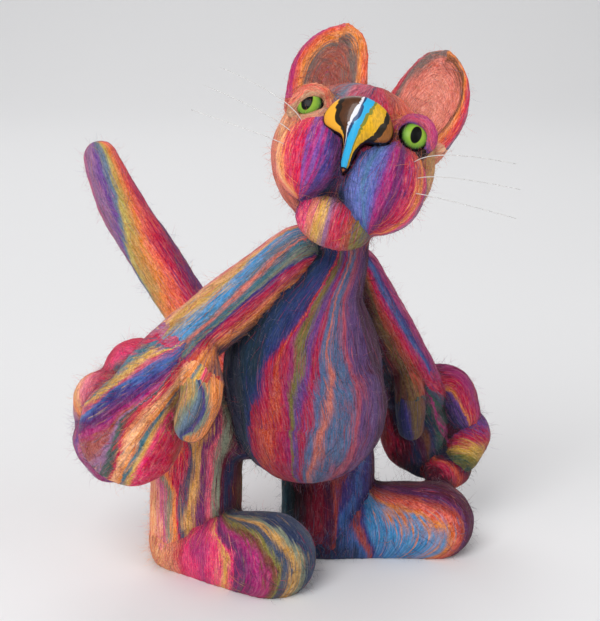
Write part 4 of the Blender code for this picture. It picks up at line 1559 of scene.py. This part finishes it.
def nose_shield(name, grow=0.0):
    """The shield, domed in front; a grown one cuts its seat in the wool."""
    half = nose_outline(grow)
    ring = np.vstack((half, (half[1:-1] * (-1.0, 1.0))[::-1]))
    count = len(ring)
    rim = skull_front(0.0, NOSE_RISE) + NOSE_STAND_OUT
    points, flat = [], []
    for share, lift in NOSE_LOOPS:
        shrink = NOSE_TAIL_SHRINK + (1.0 - NOSE_TAIL_SHRINK) * share
        spots = ring * np.array((share, shrink))
        wing = (2.0 * spots[:, 0] / NOSE_WIDTH) ** 2
        tail = np.maximum(0.0, -spots[:, 1] / NOSE_HEIGHT)
        y = rim - NOSE_WING_SWEEP * wing - NOSE_TAIL_SWEEP * tail ** 1.5
        y = y - NOSE_THICKNESS - grow if lift is None else y + NOSE_BULGE * lift + grow
        points.append(np.column_stack((spots[:, 0], y, spots[:, 1] + NOSE_RISE * HALF_SKULL[2])))
        flat.append(np.column_stack((spots, np.full(count, 1.0 if lift is None else share))))
    faces = tube_faces(len(NOSE_LOOPS), count)
    turn = count // 2
    for base, turned in ((0, False), ((len(NOSE_LOOPS) - 1) * count, True)):
        strips = [(0, 1, count - 1)]
        strips += [(i, i + 1, count - i - 1, count - i) for i in range(1, turn - 1)]
        strips.append((turn - 1, turn, turn + 1))
        for strip in strips:
            corners = [base + corner for corner in strip]
            faces.append(corners if turned else corners[::-1])
    nose = make_object(name, from_head(np.vstack(points)), faces, [])
    make_outward(nose)
    flat = np.vstack(flat)
    flat = flat[read_whole(nose.data.loops, "vertex_index")]
    lane = band_lane(flat[:, 0], flat[:, 1])
    bands = nose.data.uv_layers.new(name="Bands")
    write(bands.data, "uv", np.column_stack((
        lane / len(NOSE_BANDS.split()), flat[:, 1] / NOSE_HEIGHT)))
    rim_map = nose.data.attributes.new("Rim", "FLOAT", "CORNER")
    write(rim_map.data, "value", flat[:, 2])
    return nose


def band_lane(x, z):
    """The painted band of the nose at each place: whole numbers are its edges."""
    rows = sorted(NOSE_BAND_ENDS)
    ends = np.array([[float(word) for word in NOSE_BAND_ENDS[row].split()] for row in rows])
    ends = np.pad(ends, ((0, 0), (1, 1)), constant_values=(-NOSE_BAND_REACH, NOSE_BAND_REACH))
    edges = np.column_stack([np.interp(z, rows, ends[:, k]) for k in range(ends.shape[1])])
    number = (x[:, None] >= edges[:, 1:-1]).sum(1)
    row = np.arange(len(x))
    start, end = edges[row, number], edges[row, number + 1]
    return number + (x - start) / np.maximum(end - start, 1e-4)


def whisker_line(side, number):
    """A whisker's points in the head's frame: out of its pad, then off to the side."""
    centre, radii = (PAD_RIGHT, PAD_RIGHT_RADII) if side < 0.0 else (PAD_LEFT, PAD_LEFT_RADII)
    centre, radii = on_head(centre), on_head(radii)
    out, up = WHISKER_ROOTS[number]
    shares = np.array((side * out, math.sqrt(1.0 - out ** 2 - up ** 2), up))
    root = centre + shares * radii
    normal = unit(shares / radii)
    reach = unit((side, -0.1, WHISKER_LIFTS[number]))
    start = root - normal * WHISKER_ROOT_DEPTH
    bend = root + normal * WHISKER_RISE
    end = root + reach * WHISKER_LENGTH
    t = np.linspace(0.0, 1.0, WHISKER_STEPS)[:, None]
    curve = root * (1.0 - t) ** 2 + bend * 2.0 * t * (1.0 - t) + end * t ** 2
    return from_head(np.vstack(([start], curve)))


def whisker(side, number, material):
    """A closed round thread that tapers to its tip."""
    line = whisker_line(side, number)
    widths = np.linspace(WHISKER_WIDTH, WHISKER_TIP_WIDTH, len(line))
    widths[-1] *= WHISKER_BLUNT
    points = rings_round(line, 0.5 * widths, WHISKER_SIDES, UP).reshape(-1, 3)
    faces = tube_faces(len(line), WHISKER_SIDES)
    faces.append(list(range(WHISKER_SIDES))[::-1])
    faces.append(list(range(len(points) - WHISKER_SIDES, len(points))))
    name = ("right" if side < 0.0 else "left") + f"_whisker_{number + 1}_thread"
    thread = make_object(name, to_frame(points), faces, [material])
    smooth_faces(thread.data)
    make_outward(thread)
    return thread


# Materials

def new_tree(name):
    """A material and its node tree, emptied."""
    material = bpy.data.materials.new(name)
    material.use_nodes = True
    material.node_tree.nodes.clear()
    return material, material.node_tree


def add_node(tree, kind, settings=None, **inputs):
    """A node with its settings; each input is a value or another node's socket."""
    made = tree.nodes.new(kind)
    for key, value in (settings or {}).items():
        setattr(made, key, value)
    for key, value in inputs.items():
        place = int(key[1:]) if key[0] == "i" and key[1:].isdigit() else key.replace("_", " ")
        socket = made.inputs[place]
        if isinstance(value, bpy.types.NodeSocket):
            tree.links.new(value, socket)
        else:
            socket.default_value = value
    return made


def maths(tree, operation, first, second=0.0, clamp=False):
    """The result of one sum on two values or sockets."""
    settings = {"operation": operation, "use_clamp": clamp}
    return add_node(tree, "ShaderNodeMath", settings, i0=first, i1=second).outputs[0]


def stretched_noise(tree, vector, stretch, detail=3.0, distortion=0.0):
    """Noise from about -1 to 1 whose grain is stretched by the given rates per millimetre."""
    scaled = add_node(tree, "ShaderNodeVectorMath", {"operation": "MULTIPLY"},
                      i0=vector, i1=stretch).outputs[0]
    noise = add_node(tree, "ShaderNodeTexNoise", Vector=scaled, Scale=1.0, Detail=detail,
                     Distortion=distortion)
    centred = maths(tree, "SUBTRACT", noise.outputs["Fac"], 0.5)
    return maths(tree, "MULTIPLY", centred, 2.5)


def new_group(name, inputs, outputs):
    """An empty group, with the sockets that it is given and those that it fills."""
    group = bpy.data.node_groups.new(name, "ShaderNodeTree")
    for label, kind, value in inputs:
        socket = group.interface.new_socket(label, in_out="INPUT", socket_type=kind)
        if value is not None:
            socket.default_value = value
    for label, kind in outputs:
        group.interface.new_socket(label, in_out="OUTPUT", socket_type=kind)
    given = group.nodes.new("NodeGroupInput").outputs
    found = group.nodes.new("NodeGroupOutput").inputs
    return group, given, found


def map_range(tree, value, low, high, most=1.0, **settings):
    """From nothing at the low value up to the most at the high one."""
    return add_node(tree, "ShaderNodeMapRange", settings, i0=value, i1=low, i2=high, i3=0.0,
                    i4=most).outputs[0]


def mix_colour(tree, share, first, second):
    """The first colour, giving way to the second as the share grows."""
    return add_node(tree, "ShaderNodeMix", {"data_type": "RGBA"}, i0=share, i6=first,
                    i7=second).outputs[2]


def attribute(tree, name, part):
    """What a named attribute of the mesh says at each place."""
    return add_node(tree, "ShaderNodeAttribute", {"attribute_name": name}).outputs[part]


def uv_parts(tree, name):
    """A place in a UV map of the piece, and its separate parts."""
    place = add_node(tree, "ShaderNodeUVMap", {"uv_map": name}).outputs[0]
    return place, add_node(tree, "ShaderNodeSeparateXYZ", Vector=place).outputs


def object_place(tree):
    """The place on the piece, in its own metres."""
    return add_node(tree, "ShaderNodeTexCoord").outputs["Object"]


def length_of(tree, vector):
    return add_node(
        tree, "ShaderNodeVectorMath", {"operation": "LENGTH"}, i0=vector).outputs["Value"]


def scaled_sum(tree, base, vary, amount, clamp=False):
    """The base with a share of what varies added to it."""
    return maths(tree, "ADD", base, maths(tree, "MULTIPLY", vary, amount), clamp=clamp)


def laid_roving_group():
    """From the lane of the flow to a place on the dye ramp, with wandering, ragged edges."""
    group, given, found = new_group(
        "Laid roving",
        (("Lane", "NodeSocketFloat", 0.0), ("Lanes", "NodeSocketFloat", 10.0),
         ("Grain", "NodeSocketVector", None), ("Wander", "NodeSocketFloat", 0.5),
         ("Ragged", "NodeSocketFloat", 0.5), ("Softness", "NodeSocketFloat", 0.2),
         ("Strays", "NodeSocketFloat", 0.0)),
        (("Place", "NodeSocketFloat"), ("Stray", "NodeSocketFloat"),
         ("Stray place", "NodeSocketFloat")))
    grain = given["Grain"]
    wander = stretched_noise(group, grain, WANDER_GRAIN, 2.0)
    ragged = stretched_noise(group, grain, RAGGED_GRAIN, 3.0, 0.3)
    ragged = maths(group, "MULTIPLY", ragged, maths(group, "ABSOLUTE", ragged))
    lane = scaled_sum(group, given["Lane"], wander, given["Wander"])
    lane = scaled_sum(group, lane, ragged, given["Ragged"])
    lane = maths(group, "SUBTRACT", lane, 0.5)
    whole = maths(group, "FLOOR", lane)
    part = maths(group, "SUBTRACT", lane, whole)
    low = maths(group, "SUBTRACT", 0.5, given["Softness"])
    high = maths(group, "ADD", 0.5, given["Softness"])
    step = map_range(group, part, low, high, interpolation_type="SMOOTHSTEP")
    place = maths(group, "ADD", maths(group, "ADD", whole, step), 0.5)
    group.links.new(maths(group, "DIVIDE", place, given["Lanes"], clamp=True), found["Place"])
    strand = stretched_noise(group, grain, STRAY_GRAIN, 2.0, 0.3)
    strand = map_range(group, strand, 0.12, 0.45, 0.62)
    group.links.new(maths(group, "MULTIPLY", strand, given["Strays"]), found["Stray"])
    far = stretched_noise(group, grain, STRAY_PLACE_GRAIN, 1.0, 0.2)
    far = scaled_sum(group, lane, far, STRAY_LANES)
    far = maths(group, "PINGPONG", maths(group, "DIVIDE", far, given["Lanes"]), 1.0)
    group.links.new(far, found["Stray place"])
    return group


def needled_fibres_group():
    """Fine fibres over a dye: pale and dark strands, needle dimples with painted shade in them,
    and their height.
    """
    group, given, found = new_group(
        "Needled fibres",
        (("Color", "NodeSocketColor", None), ("Grain", "NodeSocketVector", None),
         ("Contrast", "NodeSocketFloat", 1.0), ("Light", "NodeSocketFloat", 1.0)),
        (("Color", "NodeSocketColor"), ("Roughness", "NodeSocketFloat"),
         ("Height", "NodeSocketFloat")))
    grain = given["Grain"]
    strands = stretched_noise(group, grain, STRAND_GRAIN, 2.0, 0.6)
    tangle = stretched_noise(group, grain, TANGLE_GRAIN, 3.0, 1.0)
    patches = stretched_noise(group, grain, PATCH_GRAIN, 2.0, 0.3)
    # Needle dimples: they sink the bump, and painted shade darkens them
    dimples_and_shade = stretched_noise(group, grain, PIT_GRAIN, 1.0, 0.4)
    dimples_and_shade = map_range(group, dimples_and_shade, 0.38, 0.75, 0.34)
    light = scaled_sum(group, maths(group, "MULTIPLY", strands, 0.30), tangle, 0.62)
    light = scaled_sum(group, light, patches, 0.18)
    light = maths(group, "MULTIPLY", light, given["Contrast"])
    light = maths(group, "SUBTRACT", light, dimples_and_shade)
    light = maths(group, "MULTIPLY", maths(group, "ADD", 1.0, light), given["Light"])
    shade = add_node(group, "ShaderNodeHueSaturation", Color=given["Color"],
                     Hue=scaled_sum(group, 0.5, tangle, 0.018),
                     Saturation=scaled_sum(group, 0.98, strands, -0.2), Value=light)
    pale = stretched_noise(group, grain, PALE_GRAIN, 2.0, 1.2)
    pale = map_range(group, pale, 0.25, 0.75, 0.30)
    bleached = mix_colour(group, pale, shade.outputs[0], BLEACHED_WOOL)
    group.links.new(bleached, found["Color"])
    rough_part = scaled_sum(group, WOOL_ROUGHNESS, tangle, 0.06, clamp=True)
    group.links.new(rough_part, found["Roughness"])
    height = scaled_sum(group, tangle, strands, 0.6)
    height = scaled_sum(group, height, dimples_and_shade, -2.0)
    group.links.new(height, found["Height"])
    return group


def colour_ramp(tree, place, stops):
    """A ramp through stops, each a position and a colour."""
    ramp = add_node(tree, "ShaderNodeValToRGB", Fac=place)
    elements = ramp.color_ramp.elements
    while len(elements) < len(stops):
        elements.new(0.5)
    for index, (position, _colour) in enumerate(stops):
        elements[index].position = position
    for index, (_position, colour) in enumerate(stops):
        elements[index].color = (*linear(colour), 1.0)
    return ramp.outputs["Color"]


def lane_ramp(tree, place, colours):
    """A ramp with one stop at the middle of each lane."""
    return colour_ramp(tree, place, [
        ((index + 0.5) / len(colours), colour) for index, colour in enumerate(colours)])


def finish(tree, **inputs):
    """The surface with its finish, wired to the material's output."""
    shader = add_node(tree, "ShaderNodeBsdfPrincipled", **inputs)
    output = tree.nodes.new("ShaderNodeOutputMaterial")
    tree.links.new(shader.outputs[0], output.inputs["Surface"])


def wool_material(name):
    """Dyed wool laid in the lanes of one form."""
    roving = rovings[name]
    material, tree = new_tree("wool_" + name)
    _flow, parts = uv_parts(tree, "Flow")
    lane = maths(tree, "MULTIPLY", parts[0], float(MOST_LANES))
    grain = attribute(tree, "Grain", "Vector")
    laid = add_node(tree, "ShaderNodeGroup", {"node_tree": laid_roving}, Lane=lane,
                    Lanes=float(len(roving.dyes)), Grain=grain, Wander=0.6, Ragged=2.6,
                    Softness=0.45, Strays=1.0)
    dyes = [DYES[dye] for dye in roving.dyes]
    main = lane_ramp(tree, laid.outputs["Place"], dyes)
    stray = lane_ramp(tree, laid.outputs["Stray place"], dyes)
    dye = mix_colour(tree, laid.outputs["Stray"], main, stray)
    # Painted shade in the creases, times the form's painted light and shade
    painted_light = scaled_sum(tree, 1.0, attribute(tree, "Crease", "Fac"), -CREASE_SHADE)
    painted_light = maths(tree, "MULTIPLY", painted_light, roving.depth)
    fibres = add_node(tree, "ShaderNodeGroup", {"node_tree": needled_fibres}, Color=dye,
                      Grain=grain, Contrast=1.0, Light=painted_light)
    bump = add_node(tree, "ShaderNodeBump", Height=fibres.outputs["Height"], Strength=0.5,
                    Distance=0.0002)
    finish(tree, Base_Color=fibres.outputs["Color"], Roughness=fibres.outputs["Roughness"],
           Normal=bump.outputs[0], Sheen_Weight=0.12, Sheen_Roughness=0.5,
           Specular_IOR_Level=0.12)
    return material


def loose_wool_material():
    """Single fibres, each in its own dye, a little lighter and darker along them."""
    material, tree = new_tree("loose_wool")
    shading = stretched_noise(tree, object_place(tree), (600.0, 600.0, 600.0), 2.0)
    shade = add_node(tree, "ShaderNodeHueSaturation", Color=attribute(tree, "Dye", "Color"),
                     Value=scaled_sum(tree, 1.0, shading, 0.2))
    finish(tree, Base_Color=shade.outputs[0], Sheen_Weight=0.1, Specular_IOR_Level=0.15,
           Roughness=scaled_sum(tree, 0.8, shading, 0.08, clamp=True))
    return material


def eye_material():
    """Painted glass: a yellow-green iris with an upright black pupil under a clear coat."""
    material, tree = new_tree("eye_glass")
    face, parts = uv_parts(tree, "Face")
    out = length_of(tree, face)
    angle = maths(tree, "ARCTAN2", parts[1], parts[0])
    spokes = add_node(tree, "ShaderNodeCombineXYZ", X=maths(tree, "MULTIPLY", angle, 9.0),
                      Y=maths(tree, "MULTIPLY", out, 2.0)).outputs[0]
    streak = stretched_noise(tree, spokes, (1.0, 1.0, 1.0), 3.0)
    iris = colour_ramp(tree, scaled_sum(tree, out, streak, 0.045), EYE_RINGS)
    oval = add_node(tree, "ShaderNodeVectorMath", {"operation": "MULTIPLY"}, i0=face,
                    i1=(1.0 / PUPIL_WIDTH, 1.0 / PUPIL_HEIGHT, 0.0)).outputs[0]
    outside = map_range(tree, length_of(tree, oval), 0.95, 1.05)
    finish(tree, Base_Color=mix_colour(tree, outside, PUPIL_BLACK, iris), Roughness=0.35,
           Specular_IOR_Level=0.1, Coat_Weight=0.08, Coat_Roughness=0.06)
    return material


def nose_material():
    """Painted bands under a clear gloss, with a black rim and a copper tip."""
    material, tree = new_tree("nose_gloss")
    _bands, parts = uv_parts(tree, "Bands")
    names = NOSE_BANDS.split()
    lane = maths(tree, "MULTIPLY", parts[0], float(len(names)))
    grain = add_node(tree, "ShaderNodeVectorMath", {"operation": "SCALE"},
                     i0=object_place(tree), Scale=1.0 / MM)
    laid = add_node(tree, "ShaderNodeGroup", {"node_tree": laid_roving}, Lane=lane,
                    Lanes=float(len(names)), Grain=grain.outputs[0], Wander=0.03, Ragged=0.02,
                    Softness=0.05)
    paint = lane_ramp(tree, laid.outputs["Place"], [PAINTS[name] for name in names])
    streaked = lane_ramp(tree, laid.outputs["Place"], [
        (255, 255, 255) if name in STREAKY_PAINTS else (60, 60, 60) for name in names])
    streaks = stretched_noise(tree, grain.outputs[0], (1.3, 1.3, 0.35), 4.0, 0.8)
    streaks = maths(tree, "MULTIPLY", streaks, 0.55)
    shade = add_node(tree, "ShaderNodeHueSaturation", Color=paint,
                     Value=scaled_sum(tree, 1.0, streaks, streaked))
    rim = map_range(tree, attribute(tree, "Rim", "Fac"), 0.975, 0.995)
    ring = maths(tree, "ABSOLUTE", maths(tree, "SUBTRACT", parts[1], NOSE_RING_HEIGHT))
    ring = maths(tree, "LESS_THAN", ring, NOSE_RING_WIDTH)
    dark = maths(tree, "MAXIMUM", rim, ring)
    tip = maths(tree, "LESS_THAN", parts[1], NOSE_TIP_HEIGHT)
    tipped = mix_colour(tree, tip, shade.outputs[0], (*linear(COPPER), 1.0))
    finish(tree, Base_Color=mix_colour(tree, dark, tipped, RIM_BLACK), Roughness=0.35,
           Specular_IOR_Level=0.2, Coat_Weight=0.3, Coat_Roughness=0.04)
    return material


def whisker_material():
    """Clear pale nylon, a little uneven along the thread."""
    material, tree = new_tree("whisker_nylon")
    uneven = stretched_noise(tree, object_place(tree), (400.0, 400.0, 400.0), 2.0)
    shade = add_node(tree, "ShaderNodeHueSaturation", Color=NYLON_COLOUR,
                     Value=scaled_sum(tree, 1.0, uneven, 0.08))
    finish(tree, Base_Color=shade.outputs[0], Transmission_Weight=0.4,
           Roughness=scaled_sum(tree, 0.28, uneven, 0.06))
    return material


def stage_material(name, colour):
    """Plain matt paper."""
    material, tree = new_tree(name)
    finish(tree, Base_Color=(*colour, 1.0), Roughness=0.9)
    return material


# The cat

rovings = {name: Roving(name) for name in LANES}
laid_roving = laid_roving_group()
needled_fibres = needled_fibres_group()
loose_wool = loose_wool_material()


def dress(obj, material, slot, *nodes):
    """Move a finished piece from the layout to the frame and give it its place there."""
    set_points(obj.data, to_frame(get_points(obj.data)))
    obj.data.materials.append(material)
    smooth_faces(obj.data)
    hold(obj, slot, *nodes)


def hold(obj, slot, *nodes):
    """Fix a piece to the cat's one body and hide the solids it stands for. The finish it is given
    is not used.
    """
    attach(obj, "root")
    if nodes:
        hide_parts(*nodes)


skin = make_skin()
cut_seats(skin)
skin_points, skin_layout = dress_skin(skin)
skin_tree = BVHTree.FromPolygons(
    [tuple(point) for point in skin_points], [tuple(face.vertices) for face in skin.data.polygons])
for number in range(FIBRE_BATCHES):
    fibres = lying_fibres(f"lying_fibres_{number + 1}", LYING_FIBRES // FIBRE_BATCHES, skin_tree)
    hold(fibres, "felted_wool")
for number in range(FIBRE_BATCHES):
    fibres = flyaway_fibres(f"flyaway_fibres_{number + 1}", FLYAWAY_FIBRES // FIBRE_BATCHES)
    hold(fibres, "felted_wool")
for name in NAMES:
    skin.data.materials.append(wool_material(name) if name in LANES else loose_wool)
set_points(skin.data, to_frame(skin_points))
hold(skin, "felted_wool", "felted_wool_cat")

glass = eye_material()
dress(eye_ball("right_eye_glass", -1.0), glass, "eye_glass", "right_eye")
dress(eye_ball("left_eye_glass", 1.0), glass, "eye_glass", "left_eye")
dress(nose_shield("nose_shield"), nose_material(), "nose_gloss", "nose")
nylon = whisker_material()
for side, name in ((-1.0, "right"), (1.0, "left")):
    for number in range(len(WHISKER_ROOTS)):
        hold(whisker(side, number, nylon), "whisker_nylon", f"{name}_whisker_{number + 1}")


# Stage, light and camera

def make_stage():
    """A pale floor that sweeps up into a pale backdrop behind the cat."""
    profile = [(-3.0, 0.0), (0.6, 0.0)]
    for angle in np.linspace(0.0, 0.5 * math.pi, SWEEP_STEPS):
        profile.append((SWEEP_START + SWEEP_RADIUS * math.sin(angle),
                        SWEEP_RADIUS - SWEEP_RADIUS * math.cos(angle)))
    profile.append((SWEEP_START + SWEEP_RADIUS, 3.2))
    right, _up, _ahead = view_axes()
    away = np.array((math.sin(math.radians(VIEW_YAW)), math.cos(math.radians(VIEW_YAW)), 0.0))
    points, faces = [], []
    for far, high in profile:
        for wide in (-FLOOR_HALF_WIDTH, FLOOR_HALF_WIDTH):
            points.append(away * far + right * wide + np.array((0.0, 0.0, high)))
    for index in range(len(profile) - 1):
        base = 2 * index
        faces.append((base, base + 1, base + 3, base + 2))
    paper = stage_material("studio_paper", FLOOR_COLOUR)
    floor = make_object("studio_floor", points, faces, [paper])
    smooth_faces(floor.data)


def add_light(name, place, size, power):
    """A soft square lamp that looks at the cat."""
    light = bpy.data.lights.new(name, "AREA")
    light.size = size
    light.energy = power
    lamp = bpy.data.objects.new(name, light)
    bpy.context.scene.collection.objects.link(lamp)
    lamp.location = place
    toward = Vector(LIGHT_TARGET) - Vector(place)
    lamp.rotation_euler = toward.to_track_quat("-Z", "Y").to_euler()


def add_camera():
    """The camera, where the photograph was taken from."""
    camera = bpy.data.cameras.new("camera")
    camera.lens = FOCAL_LENGTH
    camera.sensor_width = SENSOR
    camera.clip_start = 0.01
    stand = bpy.data.objects.new("camera", camera)
    bpy.context.scene.collection.objects.link(stand)
    right, up, ahead = view_axes()
    turn = Matrix(np.column_stack((right, up, -ahead)).tolist()).to_4x4()
    stand.matrix_world = Matrix.Translation(Vector(to_frame(EYE_POINT))) @ turn
    bpy.context.scene.camera = stand


make_stage()
for name, place, size, power in LIGHTS:
    add_light(name, place, size, power)
world = bpy.data.worlds.new("studio")
world.use_nodes = True
world.node_tree.nodes["Background"].inputs["Color"].default_value = (1.0, 1.0, 1.0, 1.0)
world.node_tree.nodes["Background"].inputs["Strength"].default_value = WORLD_LIGHT
bpy.context.scene.world = world
bpy.context.scene.view_settings.view_transform = "Standard"
add_camera()
